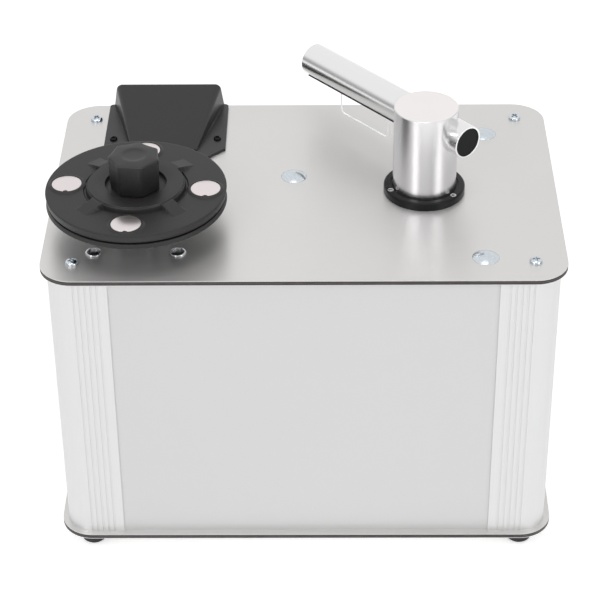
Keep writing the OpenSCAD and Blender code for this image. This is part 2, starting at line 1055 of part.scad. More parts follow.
module motor_armature() {
  core = motor_l - 2 * motor_end - 16;
  color("#8C6239")
    union() {
      at_motor(z_cover - motor_l + motor_end + move_gap)
        cylinder(r = motor_shaft_r, h = z_gear + gear_face - z_cover + motor_l - motor_end);
      at_motor(z_cover - motor_end - core - 4)
        cylinder(r = motor_r - motor_wall - 4, h = core);
    }
}

// A spur gear: straight-sided teeth, thinner than their gaps, one tooth along +X
function gear_outline(n, m) = [
  for (i = [0 : n - 1]) for (k = [0 : 3]) let(
    root = m * (n / 2 - 1.15),
    top = m * (n / 2 + 0.8),
    a = 360 / n * (i + [-0.27, -0.1, 0.1, 0.27][k]),
    r = [root, top, top, root][k])
    [r * cos(a), r * sin(a)]];

module gear_blank(n, h, bore) {
  difference() {
    linear_extrude(h)
      polygon(gear_outline(n, gear_m));
    translate([0, 0, -1])
      cylinder(r = bore, h = h + 2);
  }
}

module motor_pinion() {
  color("#C8CACC")
    at_motor(z_gear)
      rotate([0, 0, 180 / pinion_n - 90])
        gear_blank(pinion_n, gear_face, motor_shaft_r);
}

module spindle() {
  foot = z_cover + 1;
  color("#D2D2D4")
    union() {
      at_spindle(foot)
        cylinder(r = shaft_r, h = z_mat - foot);
      at_spindle(z_mat)
        cylinder(r = tip_r, h = tip_l - 1);
      at_spindle(z_mat + tip_l - 1)
        cylinder(r1 = tip_r, r2 = tip_r - 1, h = 1);
    }
}

module output_gear() {
  color("#E6E2D6")
    at_spindle(z_gear)
      rotate([0, 0, 90])
        union() {
          gear_blank(gear_n, gear_face, shaft_r);
          translate([0, 0, -gear_hub_h])
            pipe(gear_hub_r, gear_hub_r - shaft_r, gear_hub_h);
        }
}

module platter_hub() {
  low = upper_collar_h + hub_lift;
  color("#C9C9CB")
    difference() {
      union() {
        at_spindle(z_deck + low)
          cylinder(r = hub_r, h = platter_rise - low);
        at_spindle(z_platter - hub_plate_t)
          cylinder(r = hub_plate_r, h = hub_plate_t);
      }
      at_spindle(z_deck)
        cylinder(r = shaft_r, h = platter_rise + 1);
    }
}

module platter() {
  color("#343232")
    at_spindle(z_platter)
      rotate_extrude()
        polygon([
          [shaft_r, 0],
          [platter_r - rim_slope, 0],
          [platter_r - 0.2, 0.4],
          [platter_r, rim_slope],
          [platter_r - rim_slope + 0.1, platter_t - 0.3],
          [platter_r - rim_slope - 0.3, platter_t],
          [shaft_r, platter_t]]);
}

module platter_mat() {
  color("#1E1E1E")
    at_spindle(z_mat)
      pipe(mat_r, mat_r - mat_hole_r, mat_t);
}

// Clamp, drawn with Z 0 at the low edge of its rim
module at_clamp() {
  at_spindle(z_clamp)
    rotate([0, 0, clamp_turn])
      children();
}

module at_magnets(z) {
  for (i = [0 : 3])
    rotate([0, 0, 90 * i])
      translate([magnet_circle, 0, z])
        children();
}

module clamp_section() {
  top = clamp_t + boss_h;
  seat = move_gap - record_gap;
  polygon([
    [neck_r + run_gap, retainer_room_h],
    [retainer_room_r, retainer_room_h],
    [retainer_room_r, seat],
    [hollow_in_r, seat],
    [hollow_in_r, hollow_h],
    [hollow_out_r, hollow_h],
    [hollow_out_r, 0],
    [platter_r - rim_slope, 0],
    [platter_r, clamp_t - rim_round],
    [platter_r - 0.25, clamp_t - 0.25],
    [platter_r - rim_round, clamp_t],
    [boss_r + boss_slope, clamp_t],
    [boss_r, top - boss_round],
    [boss_r - boss_round / 3, top - boss_round / 3],
    [boss_r - boss_round, top],
    [knob_pocket_r, top],
    [knob_pocket_r, knob_floor],
    [neck_r + run_gap, knob_floor]]);
}

module clamp_disc() {
  color("#343232")
    at_clamp()
      difference() {
        union() {
          rotate_extrude()
            clamp_section();
          for (i = [0 : 3])
            rotate([90, 0, ramp_turn + 90 * i])
              translate([0, 0, -ramp_w / 2])
                linear_extrude(ramp_w)
                  polygon([
                    [boss_r - 3, clamp_t - 1],
                    [ramp_reach, clamp_t - 1],
                    [ramp_reach, clamp_t],
                    [boss_r + 2, clamp_t + boss_h - 0.6],
                    [boss_r - 3, clamp_t + boss_h - 0.6]]);
          at_magnets(clamp_t - 1)
            cylinder(r = magnet_r + pocket_rim, h = magnet_stand + 1);
        }
        at_magnets(magnet_z)
          cylinder(r = magnet_r + fit_gap, h = boss_h);
      }
}

module clamp_magnets() {
  color("#D6D2D2")
    at_clamp()
      at_magnets(magnet_z)
        cylinder(r = magnet_r, h = magnet_t);
}

module clamp_seal() {
  low = move_gap - record_gap;
  color("#1E1E1E")
    at_clamp()
      translate([0, 0, low])
        pipe(hollow_out_r - fit_gap, seal_w, hollow_h - low);
}

// Plan of the knob: hollow flats between its corners
module knob_plan() {
  half = 180 / knob_n;
  chord = knob_r * sin(half);
  flat = knob_r * cos(half) - knob_hollow;
  arc = (chord * chord + knob_hollow * knob_hollow) / (2 * knob_hollow);
  difference() {
    circle(knob_r);
    for (i = [0 : knob_n - 1])
      rotate([0, 0, half * (2 * i + 1)])
        translate([flat + arc, 0])
          circle(arc, $fn = 360);
  }
}

module clamp_knob() {
  ball = (dish_r * dish_r + dish_depth * dish_depth) / (2 * dish_depth);
  knob_turn = -70.8 - clamp_turn;
  color("#2E2E2E")
    at_clamp()
      difference() {
        union() {
          translate([0, 0, knob_z])
            rotate([0, 0, knob_turn])
              intersection() {
                linear_extrude(knob_h)
                  knob_plan();
                union() {
                  cylinder(r = knob_r, h = knob_h - knob_chamfer);
                  translate([0, 0, knob_h - knob_chamfer])
                    cylinder(r1 = knob_r, r2 = knob_r - knob_chamfer,
                      h = knob_chamfer);
                }
              }
          translate([0, 0, retainer_room_h - move_gap - retainer_t])
            cylinder(r = neck_r, h = knob_z - retainer_room_h + retainer_t + 1);
        }
        cylinder(r = insert_r + fit_gap, h = insert_top + fit_gap);
        translate([0, 0, knob_z + knob_h + ball - dish_depth])
          sphere(ball, $fn = 180);
      }
}

module knob_insert() {
  low = retainer_room_h - move_gap - retainer_t;
  color("#B9975B")
    at_clamp()
      translate([0, 0, low])
        difference() {
          cylinder(r = insert_r, h = insert_top - low);
          translate([0, 0, -1])
            cylinder(r = tip_r + run_gap, h = insert_top - low - 1);
        }
}

module knob_retainer() {
  color("#9EA0A2")
    at_clamp()
      translate([0, 0, retainer_room_h - move_gap - retainer_t])
        pipe(retainer_r, retainer_r - neck_r, retainer_t);
}

// Suction arm
module arm_flange() {
  color("#262628")
    difference() {
      at_post(z_deck)
        rotate_extrude()
          difference() {
            union() {
              translate([flange_bore_r, 0])
                square([flange_r - flange_round - flange_bore_r, flange_h]);
              translate([flange_bore_r, 0])
                square([flange_r - flange_bore_r, flange_h - flange_round]);
              translate([flange_r - flange_round, flange_h - flange_round])
                circle(flange_round);
            }
            translate([0, flange_h - flange_ring_d])
              square([flange_ring_r, flange_ring_d + 1]);
          }
      at_flange_screws(z_deck - 1)
        cylinder(r = flange_screw_r + fit_gap, h = flange_h + 2);
      at_flange_screws(z_deck + flange_h - flange_head_h)
        cylinder(r = flange_head_r + flange_head_gap, h = flange_head_h + 1);
    }
}

module arm_bearing() {
  color("#A8AAAC")
    difference() {
      at_post(z_bearing)
        cylinder(r = bearing_r, h = bearing_l);
      at_post(z_bearing - 1)
        cylinder(r = bearing_in_r, h = bearing_l - bearing_top + 1);
      at_post(z_bearing)
        cylinder(r = flange_bore_r, h = bearing_l + 1);
      at_flange_screws(z_roof - bearing_top + 2)
        cylinder(r = flange_screw_r + fit_gap, h = bearing_top);
    }
}

module bearing_cap() {
  color("#8E9092")
    difference() {
      union() {
        at_post(z_bearing - cap_t)
          cylinder(r = bearing_r, h = cap_t);
        at_post(z_bearing - cap_t - collar_l)
          cylinder(r = collar_r, h = collar_l);
      }
      at_post(z_bearing - cap_t - collar_l - 1)
        cylinder(r = collar_in_r, h = cap_t + collar_l + 2);
    }
}

module swing_sleeve() {
  low = z_bearing + move_gap;
  slot_low = z_key - key_l - arm_travel - move_gap;
  color("#C2C4C6")
    difference() {
      at_post(low)
        cylinder(r = sleeve_r, h = z_key - low);
      at_post(z_ledge)
        cylinder(r = sleeve_in_r, h = z_key - low);
      at_post(low - 1)
        cylinder(r = collar_r - 1, h = ledge_t + 2);
      at_post(slot_low)
        rotate([0, 0, arm_turn])
          translate([-sleeve_r - 1, -key_w / 2 - run_gap, 0])
            cube([sleeve_r, key_w + 2 * run_gap, z_key - slot_low + 1]);
    }
}

module lift_spring() {
  low = z_ledge + spring_wire_r;
  rise = z_post - z_ledge - 2 * spring_wire_r;
  steps = spring_turns * 16;
  path = [for (i = [0 : steps]) let(a = 360 * spring_turns * i / steps)
    [spring_r * cos(a), spring_r * sin(a), rise * i / steps]];
  color("#B4B6B8")
    at_post(low)
      swept_rod(path, spring_wire_r, 8, [1, 0, 0]);
}

module arm_post() {
  top = z_deck + post_h;
  color("#DEDEDE")
    difference() {
      union() {
        at_post(z_post)
          cylinder(r = post_r, h = top - z_post - post_chamfer);
        at_post(top - post_chamfer)
          cylinder(r1 = post_r, r2 = post_r - post_chamfer, h = post_chamfer);
        at_post(z_key - key_l)
          rotate([0, 0, arm_turn])
            translate([-post_r - key_out, -key_w / 2, 0])
              cube([key_out + post_wall / 2, key_w, key_l]);
      }
      at_post(z_post - 1)
        cylinder(r = post_r - post_wall, h = top - z_post - post_roof + 1);
      along_arm()
        rotate([0, 90, 0])
          cylinder(r = tube_r, h = 4 * post_r, center = true);
    }
}

module suction_tube() {
  color("#DADADA")
    along_arm()
      difference() {
        rotate([0, 90, 0])
          translate([0, 0, -tube_tail])
            cylinder(r = tube_r, h = tube_tail + tube_reach);
        rotate([0, 90, 0])
          translate([0, 0, -tube_tail - 1])
            cylinder(r = tube_in_r, h = tube_tail + tube_reach + 2);
        translate([tube_slot_start, -tube_slot_w / 2, -tube_r - 1])
          cube([tube_slot_end - tube_slot_start, tube_slot_w, tube_r]);
        translate([0, 0, -tube_r - 1])
          cylinder(r = tube_in_r - 2, h = tube_r);
      }
}

module tube_caps() {
  color("#202020")
    along_arm()
      for (start = [plug_inset - tube_tail, tube_reach - plug_inset - plug_t])
        translate([start, 0, 0])
          rotate([0, 90, 0])
            cylinder(r = tube_in_r, h = plug_t);
}

// Strips of felt on the tube's underside, one on each side of the slot
module felt_strips() {
  color("#161616")
    along_arm()
      for (side = [-1, 1])
        rotate([side * (felt_in + felt_out) / 2, 0, 0])
          intersection() {
            translate([felt_start, 0, 0])
              rotate([0, 90, 0])
                pipe(tube_r + felt_t, felt_t, felt_end - felt_start);
            translate([felt_start, -felt_half, -2 * tube_r])
              cube([felt_end - felt_start, 2 * felt_half, 2 * tube_r]);
          }
}

// Clear blade that hangs below the tube's slot, held by a lug at each end
module clear_guard() {
  lug_gap = tube_slot_w / 2 - fit_gap;
  first = tube_slot_start + fit_gap;
  last = tube_slot_end - fit_gap;
  color([0.85, 0.88, 0.88, 0.5])
    along_arm()
      union() {
        translate([first, -guard_t / 2, -tube_r - guard_strip])
          cube([last - first, guard_t, guard_strip + tube_wall]);
        translate([guard_start, guard_t / 2, 0])
          rotate([90, 0, 0])
            linear_extrude(guard_t)
              union() {
                translate([0, guard_round - tube_r - guard_drop])
                  square([guard_tab, guard_drop - guard_round + tube_wall]);
                translate([guard_round, -tube_r - guard_drop])
                  square([guard_tab - 2 * guard_round, guard_drop]);
                for (x = [guard_round, guard_tab - guard_round])
                  translate([x, guard_round - tube_r - guard_drop])
                    circle(guard_round);
              }
        for (start = [first, last - guard_lug])
          translate([start, -lug_gap, -tube_r])
            cube([guard_lug, 2 * lug_gap, tube_wall]);
      }
}

// Fluid tank
module tank_plan() {
  translate([tank_x, tank_y])
    circle(tank_r + tank_rim);
  for (turn = bolt_turns)
    translate([tank_x, tank_y])
      rotate([0, 0, turn]) {
        translate([0, -lug_r])
          square([bolt_circle, 2 * lug_r]);
        translate([bolt_circle, 0])
          circle(lug_r);
      }
}

module tank_body() {
  bolt_hole_r = bolt_r + fit_gap;
  color("#D4D4CC")
    difference() {
      union() {
        translate([0, 0, z_rim - rim_t])
          linear_extrude(rim_t)
            tank_plan();
        translate([tank_x, tank_y, z_tank])
          cylinder(r = tank_r, h = tank_h);
      }
      translate([tank_x, tank_y, z_tank + tank_base])
        cylinder(r = tank_r - tank_wall, h = tank_h);
      at_tank_bolts(z_rim - rim_t - 1)
        cylinder(r = bolt_hole_r, h = rim_t + 2);
      translate([drain_x, tank_y, z_drain])
        rotate([-90, 0, 0])
          cylinder(r = drain_r + drain_wall, h = 2 * tank_r);
    }
}

module tank_lid() {
  color("#BEBEB8")
    difference() {
      union() {
        translate([0, 0, z_lid - lid_t])
          linear_extrude(lid_t)
            tank_plan();
        translate([elbow_x, elbow_y, z_lid])
          cylinder(r = pipe_r, h = elbow_rise);
        translate([elbow_x - elbow_bend, elbow_y, z_lid + elbow_rise])
          rotate([90, 0, 0])
            rotate_extrude(angle = 90)
              translate([elbow_bend, 0])
                circle(pipe_r);
        translate([elbow_x - elbow_bend, elbow_y, z_elbow])
          rotate([0, -90, 0])
            cylinder(r = pipe_r, h = elbow_l);
      }
      at_post(z_lid - lid_t - 1)
        cylinder(r = collar_r, h = lid_t + 2);
      at_tank_bolts(z_lid - lid_t - 1)
        cylinder(r = bolt_r + fit_gap, h = lid_t + 2);
      translate([elbow_x, elbow_y, z_lid - lid_t - 1])
        cylinder(r = pipe_r - pipe_wall, h = elbow_rise + lid_t + 1);
      translate([elbow_x - elbow_bend, elbow_y, z_lid + elbow_rise])
        rotate([90, 0, 0])
          rotate_extrude(angle = 90)
            translate([elbow_bend, 0])
              circle(pipe_r - pipe_wall);
      translate([elbow_x - elbow_bend, elbow_y, z_elbow])
        rotate([0, -90, 0])
          cylinder(r = pipe_r - pipe_wall, h = elbow_l + 1);
    }
}

// Domed bolts with a square neck, with the spacers, washers and nuts that hold the tank
module tank_bolts() {
  z_washer = z_rim - rim_t - washer_t;
  z_nut = z_washer - nut_t;
  z_tip = z_nut - bolt_tail;
  color("#D5DAE0") {
    at_tank_bolts(z_deck)
      union() {
        dome(bolt_head_r, bolt_head_h);
        translate([-bolt_neck / 2, -bolt_neck / 2, -plate_t])
          cube([bolt_neck, bolt_neck, plate_t]);
        translate([0, 0, z_tip - z_deck])
          cylinder(r = bolt_r, h = z_deck - z_tip);
      }
    at_tank_bolts(z_lid)
      pipe(spacer_r, spacer_r - bolt_r, z_roof - z_lid);
    at_tank_bolts(z_washer)
      pipe(washer_r, washer_r - bolt_r, washer_t);
    at_tank_bolts(z_nut)
      difference() {
        cylinder(r = nut_r, h = nut_t, $fn = 6);
        translate([0, 0, -1])
          cylinder(r = bolt_r, h = nut_t + 2);
      }
  }
}

// Gasket under the lid, and the drain pipe with its flange and nut
module tank_fittings() {
  pipe_start = tank_y + tank_r - drain_back;
  color("#3A3A38") {
    translate([tank_x, tank_y, z_rim])
      pipe(tank_r + gasket_over, tank_wall + gasket_over, gasket_t);
    difference() {
      union() {
        translate([drain_x, pipe_start, z_drain])
          rotate([-90, 0, 0])
            cylinder(r = drain_r + drain_wall, h = panel_y - pipe_start);
        translate([drain_x, panel_y, z_drain])
          rotate([-90, 0, 0])
            cylinder(r = drain_flange_r, h = drain_flange_t);
        translate([drain_x, inner_y - drain_nut_t, z_drain])
          rotate([-90, 0, 0])
            cylinder(r = drain_nut_r, h = drain_nut_t);
      }
      translate([drain_x, pipe_start - 1, z_drain])
        rotate([-90, 0, 0])
          cylinder(r = drain_r, h = case_d);
    }
  }
}

module drain_stopper() {
  color("#7A2420")
    translate([drain_x, panel_y + drain_flange_t, z_drain])
      rotate([-90, 0, 0])
        union() {
          cylinder(r = stopper_head_r, h = stopper_head_t);
          translate([0, 0, -stopper_l])
            cylinder(r = drain_r - run_gap, h = stopper_l);
        }
}

// Vacuum unit
module at_vacuum(z) {
  translate([vac_x, vac_y, z])
    children();
}

module vacuum_shelf() {
  color("#9EA2A6")
    difference() {
      at_vacuum(0)
        union() {
          translate([0, 0, z_shelf])
            linear_extrude(shelf_t)
              intersection() {
                circle(fan_r + shelf_margin);
                square([3 * fan_r, 2 * (fan_r + shelf_edge)], center = true);
              }
          for (i = [0 : 3])
            rotate([0, 0, 45 + 90 * i])
              translate([fan_r + pillar_out, 0, z_floor])
                cylinder(r = pillar_r, h = shelf_h);
        }
      at_vacuum(z_shelf - 1)
        cylinder(r = pipe_r + fit_gap, h = shelf_t + 2);
    }
}

module fan_housing() {
  color("#2C2E30")
    difference() {
      union() {
        at_vacuum(z_fan)
          cylinder(r = fan_r, h = fan_h);
        at_vacuum(z_spigot)
          cylinder(r = pipe_r, h = z_fan - z_spigot + 1);
      }
      at_vacuum(z_fan + fan_wall)
        cylinder(r = fan_r - fan_wall, h = fan_h - 2 * fan_wall);
      at_vacuum(z_fan + fan_wall)
        cylinder(r = vac_r - vac_wall, h = fan_h);
      at_vacuum(z_spigot - 1)
        cylinder(r = pipe_r - pipe_wall, h = z_fan - z_spigot + fan_wall + 2);
    }
}

module vacuum_motor() {
  bore_r = vac_r - vac_wall;
  color("#9A9DA0")
    difference() {
      union() {
        at_vacuum(z_vac)
          pipe(vac_r, vac_wall, vac_h);
        for (z = [z_vac, z_duct - vac_end])
          at_vacuum(z)
            cylinder(r = bore_r + vac_wall / 2, h = vac_end);
        at_vacuum(z_vac + vac_end + vac_space)
          pipe(bore_r + vac_wall / 2, bore_r + vac_wall / 2 - stator_in_r,
            vac_h - 2 * vac_end - 2 * vac_space);
      }
      at_vacuum(z_vac - 1)
        cylinder(r = vac_shaft_r + run_gap, h = vac_h + 2);
      for (i = [0 : vent_n - 1])
        at_vacuum(z_vac - 1)
          rotate([0, 0, 360 / vent_n * i])
            translate([vent_circle, 0, 0])
              cylinder(r = vent_r, h = vac_h + 2);
    }
}

module vacuum_rotor() {
  blade_r = fan_r - fan_wall - 4;
  z_disc = z_fan + fan_wall + 3;
  color("#B87A4A")
    union() {
      at_vacuum(z_disc)
        cylinder(r = vac_shaft_r, h = z_duct - z_disc - 1);
      at_vacuum(z_disc)
        cylinder(r = blade_r, h = disc_t);
      for (i = [0 : blade_n - 1])
        at_vacuum(z_disc)
          rotate([0, 0, 360 / blade_n * i])
            translate([vac_shaft_r - 1, 0, 0])
              cube([blade_r - vac_shaft_r, disc_t, blade_h]);
      at_vacuum(z_vac + vac_end + vac_space)
        cylinder(r = stator_in_r - 1.5, h = vac_h - 2 * vac_end - 2 * vac_space);
    }
}

module exhaust_duct() {
  color("#8A8D90")
    at_vacuum(z_duct)
      pipe(vac_r + duct_over, duct_over + vac_wall, z_roof - z_duct);
}

module air_hose() {
  start_x = elbow_x - elbow_bend - elbow_l;
  path = straight_ended([
    [start_x + hose_overlap, elbow_y, z_elbow],
    [start_x, elbow_y, z_elbow],
    [between(start_x, lane_x, 0.5), between(elbow_y, vac_y, 0.03), z_elbow - hose_fall / 4],
    [lane_x, between(elbow_y, vac_y, 0.1), z_elbow - hose_fall],
    [lane_x - hose_step, between(elbow_y, vac_y, 0.25), (z_elbow + intake_z) / 2],
    [lane_x - 3 * hose_step, between(elbow_y, vac_y, 0.45), intake_z + hose_turn],
    [lane_x - hose_run, between(elbow_y, vac_y, 0.8), intake_z],
    [vac_x + hose_bend, vac_y, intake_z],
    [vac_x + 2.5 * hose_step, vac_y, intake_z + 4 * hose_step],
    [vac_x, vac_y, z_spigot - hose_step / 2],
    [vac_x, vac_y, z_spigot + hose_overlap]], 4);
  color("#333537")
    swept_hose(path, hose_r, hose_wall, 16, [0, 1, 0]);
}

// Exhaust hood
module slice(w, h, r, lean) {
  translate([-w / 2 - lean, -1])
    square([w + 2 * lean, 1]);
  for (side = [-1, 1])
    translate([side * (w / 2 - r), h - r])
      circle(r);
}

module scoop(shrink, mouth_y) {
  far = scoop_l - shrink;
  hull() {
    translate([0, mouth_y, 0])
      rotate([90, 0, 0])
        linear_extrude(1)
          slice(scoop_w - 2 * shrink, hood_rise - shrink, scoop_round - shrink,
            scoop_lean);
    translate([0, -far, 0])
      rotate([90, 0, 0])
        linear_extrude(0.1)
          slice(scoop_w_low - 2 * shrink, scoop_low - shrink, 1, 0);
  }
}

module scoop_skirt() {
  low = hood_t + skirt_h;
  hull() {
    rotate([90, 0, 0])
      linear_extrude(1)
        slice(scoop_w + 2 * scoop_lean - skirt_w, low, skirt_h / 2, skirt_w);
    translate([0, -scoop_l, 0])
      rotate([90, 0, 0])
        linear_extrude(0.1)
          slice(scoop_w_low, hood_t + 0.5, skirt_h / 2, skirt_w);
  }
}

module hood_flange() {
  half = hood_w / 2;
  linear_extrude(hood_t)
    difference() {
      union() {
        translate([-half, -hood_l])
          square([hood_w, hood_l - hood_round]);
        translate([hood_round - half, -hood_l])
          square([hood_w - 2 * hood_round, hood_l]);
        for (side = [-1, 1])
          translate([side * (half - hood_round), -hood_round])
            circle(hood_round);
      }
      for (side = [0, 1])
        mirror([side, 0])
          translate([half, -hood_l])
            rotate([0, 0, 45])
              square([hood_chamfer * sqrt(2), hood_chamfer * sqrt(2)],
                center = true);
    }
}

module exhaust_hood() {
  color("#3E3E3E")
    difference() {
      translate([hood_x, hood_y, z_deck])
        difference() {
          union() {
            hood_flange();
            intersection() {
              union() {
                scoop(0, 0);
                scoop_skirt();
              }
              translate([-hood_w, -hood_l, 0])
                cube([2 * hood_w, hood_l, 2 * hood_rise]);
            }
          }
          scoop(hood_t, 2);
        }
      at_hood_screws(z_deck - 1)
        cylinder(r = hood_screw_r + fit_gap, h = hood_t + 2);
    }
}

module hood_screws() {
  color("#2A2A2A")
    at_hood_screws(z_deck + hood_t)
      cross_screw(hood_screw_r, hood_head_r, hood_head_h, hood_t + plate_t + 6);
}

// Switches: drawn with X outwards from the panel's face and Z up
module at_switch(z) {
  translate([panel_x, -switch_y, z])
    children();
}

module switch_body_one() {
  body_w = switch_w - 2 * switch_edge;
  body_l = switch_l - 2 * switch_edge;
  room_w = switch_w - 2 * switch_rim;
  room_l = switch_l - 2 * switch_rim;
  pivot = switch_rim_t - rocker_pivot;
  difference() {
    union() {
      translate([0, -switch_w / 2, -switch_l / 2])
        cube([switch_rim_t, switch_w, switch_l]);
      translate([-switch_body, -body_w / 2, -body_l / 2])
        cube([switch_body + 1, body_w, body_l]);
      for (z = [-1, 0, 1])
        translate([-switch_body - terminal_l, -terminal_w / 2, z * 7 - terminal_t / 2])
          cube([terminal_l + 1, terminal_w, terminal_t]);
    }
    translate([pivot - rocker_room, -room_w / 2, -room_l / 2])
      cube([switch_body, room_w, room_l]);
    translate([pivot, 0, 0])
      rotate([90, 0, 0])
        cylinder(r = rocker_pin_r + run_gap, h = body_w + 2, center = true);
  }
}

module switch_bodies() {
  color("#1C1C1C")
    for (z = [z_switch_top, z_switch_low])
      at_switch(z)
        switch_body_one();
}

module rocker(tilt) {
  pin_l = switch_w - 2 * switch_edge;
  translate([switch_rim_t - rocker_pivot, 0, 0])
    rotate([0, tilt, 0]) {
      rotate([90, 0, 0])
        linear_extrude(2 * rocker_half_w, center = true)
          polygon([
            [-rocker_back, -rocker_half_l],
            [rocker_pivot + rocker_face, -rocker_half_l],
            [rocker_pivot + rocker_mid, 0],
            [rocker_pivot + rocker_face, rocker_half_l],
            [-rocker_back, rocker_half_l]]);
      rotate([90, 0, 0])
        cylinder(r = rocker_pin_r, h = pin_l, center = true);
    }
}

module vacuum_rocker() {
  color("#2E2E2E")
    at_switch(z_switch_top)
      rocker(-rocker_tilt);
}

module platter_rocker() {
  color("#2E2E2E")
    at_switch(z_switch_low)
      rocker(0);
}

// Mains inlet: drawn with Y outwards from the panel's face
module at_inlet() {
  translate([inlet_x, panel_y, z_inlet])
    children();
}

module mains_inlet() {
  body_w = inlet_w - 2 * inlet_rim;
  body_h = inlet_h - 2 * inlet_rim;
  slot_z = socket_z + socket_h / 2 + drawer_gap - move_gap;
  color("#1A1A1A")
    at_inlet() {
      difference() {
        union() {
          translate([-inlet_w / 2, 0, -inlet_h / 2])
            cube([inlet_w, inlet_rim_t, inlet_h]);
          translate([-body_w / 2, -inlet_depth, -body_h / 2])
            cube([body_w, inlet_depth + 1, body_h]);
        }
        translate([-socket_w / 2, inlet_rim_t - socket_d, socket_z - socket_h / 2])
          cube([socket_w, socket_d + 1, socket_h]);
        translate([-drawer_w / 2 - move_gap, inlet_rim_t - drawer_l - move_gap, slot_z])
          cube([drawer_w + 2 * move_gap, drawer_l + 1, drawer_h + 2 * move_gap]);
      }
      for (i = [-1, 0, 1])
        translate([i * pin_pitch - pin_w / 2, inlet_rim_t - socket_d - 1,
          socket_z + (i == 0 ? 2 : -2) - 2])
          cube([pin_w, socket_d - 3, 4]);
    }
}

module fuse_drawer() {
  low = socket_z + socket_h / 2 + drawer_gap;
  color("#3A3A3A")
    at_inlet()
      difference() {
        union() {
          translate([-drawer_w / 2, inlet_rim_t - drawer_l, low])
            cube([drawer_w, drawer_l, drawer_h]);
          translate([-drawer_w / 2 - 1, inlet_rim_t + move_gap, low - 0.5])
            cube([drawer_w + 2, drawer_lip, drawer_h + 1]);
          translate([-drawer_w / 2, inlet_rim_t - 1, low])
            cube([drawer_w, move_gap + 2, drawer_h]);
        }
        translate([-drawer_w / 2 + 2, inlet_rim_t - drawer_l + 2, low + 1.5])
          cube([drawer_w - 4, drawer_l - 4, drawer_h]);
      }
}

// Control board with its parts on four stand-offs
module control_board() {
  top = z_board + board_t - solder_t;
  color("#2F6B45")
    union() {
      translate([board_x, board_y, z_floor]) {
        translate([-board_w / 2, -board_l / 2, board_lift])
          cube([board_w, board_l, board_t]);
        at_corners(board_w / 2 - stand_off_inset, board_l / 2 - stand_off_inset)
          cylinder(r = stand_off_r, h = board_lift);
      }
      translate([transformer_x, transformer_y, top])
        cube([transformer_w, transformer_l, transformer_h]);
      translate([capacitor_x, capacitor_y, top])
        cylinder(r = capacitor_r, h = capacitor_h);
      translate([relay_x, relay_y, top])
        cube([relay_w, relay_l, relay_h]);
      translate([terminal_x, terminal_y, top])
        cube([terminal_row, terminal_depth, terminal_rise]);
    }
}

module wire(points, first_side) {
  swept_rod(straight_ended(points, 3), wire_r, 8, first_side);
}

// Bundles of wire from the inlet, the switches and the two motors to the board
module wire_loom() {
  plug_x = terminal_x + terminal_row;
  plug_y = terminal_y + terminal_depth / 2;
  plug_z = z_board + board_t + terminal_rise / 2;
  low = z_floor + 2 * wire_r;
  start_x = panel_x - switch_body - terminal_l;
  start_y = panel_y - inlet_depth;
  join = [start_x - wire_lead, -switch_y - wire_fall, z_switch_low - wire_fall];
  motor_y = spindle_y + gear_spread;
  motor_z = z_cover - motor_l;
  can_z = z_vac + vac_h / 2;
  drop_x = board_x - wire_bend;
  drop_y = board_y + board_l / 2 - wire_bend;
  pin_x = relay_x + relay_w / 2;
  pin_y = relay_y + relay_l / 2;
  pin_z = z_board + board_t - solder_t + relay_h;
  color("#20242A") {
    wire([
      [inlet_x, start_y, z_inlet],
      [inlet_x, start_y - wire_bend, z_inlet],
      [inlet_x - wire_bend, start_y - wire_fall, low + wire_bend],
      [inlet_x - 2 * wire_fall, tank_y + wire_side, low],
      [plug_x + wire_swing, plug_y + wire_side, low],
      [plug_x + wire_fall / 2, plug_y + wire_r, plug_z],
      [plug_x, plug_y + wire_r, plug_z]], [1, 0, 0]);
    wire([
      [start_x, -switch_y, z_switch_top],
      [start_x - wire_lead, -switch_y, z_switch_top],
      [start_x - wire_lead, -switch_y - wire_fall, z_switch_top - wire_fall],
      join,
      [start_x - wire_bend, -switch_y - wire_side, low + wire_fall],
      [tank_x, -switch_y - wire_side, low],
      [plug_x + wire_swing, plug_y - wire_bend, low],
      [plug_x + wire_fall / 2, plug_y - wire_r - 1, plug_z],
      [plug_x, plug_y - wire_r - 1, plug_z]], [0, 0, 1]);
    wire([
      [start_x, -switch_y, z_switch_low],
      [start_x - wire_lead, -switch_y, z_switch_low],
      [start_x - wire_lead, -switch_y - wire_fall / 2, z_switch_low - wire_bend],
      join], [0, 0, 1]);
    wire([
      [spindle_x, motor_y, motor_z],
      [spindle_x, motor_y, motor_z - wire_bend],
      [spindle_x - wire_bend, motor_y + wire_fall / 2, motor_z - wire_swing],
      [drop_x, drop_y, z_board + wire_side],
      [drop_x, drop_y, z_board + board_t]], [1, 0, 0]);
    wire([
      [vac_x + vac_r, vac_y, can_z],
      [vac_x + vac_r + wire_bend, vac_y, can_z],
      [vac_x + fan_r + wire_bend, vac_y - wire_side, z_vac],
      [vac_x + fan_r + shelf_margin, vac_y - fan_r - wire_lead, z_shelf],
      [pin_x, pin_y, pin_z + wire_fall],
      [pin_x, pin_y, pin_z]], [0, 0, 1]);
  }
}

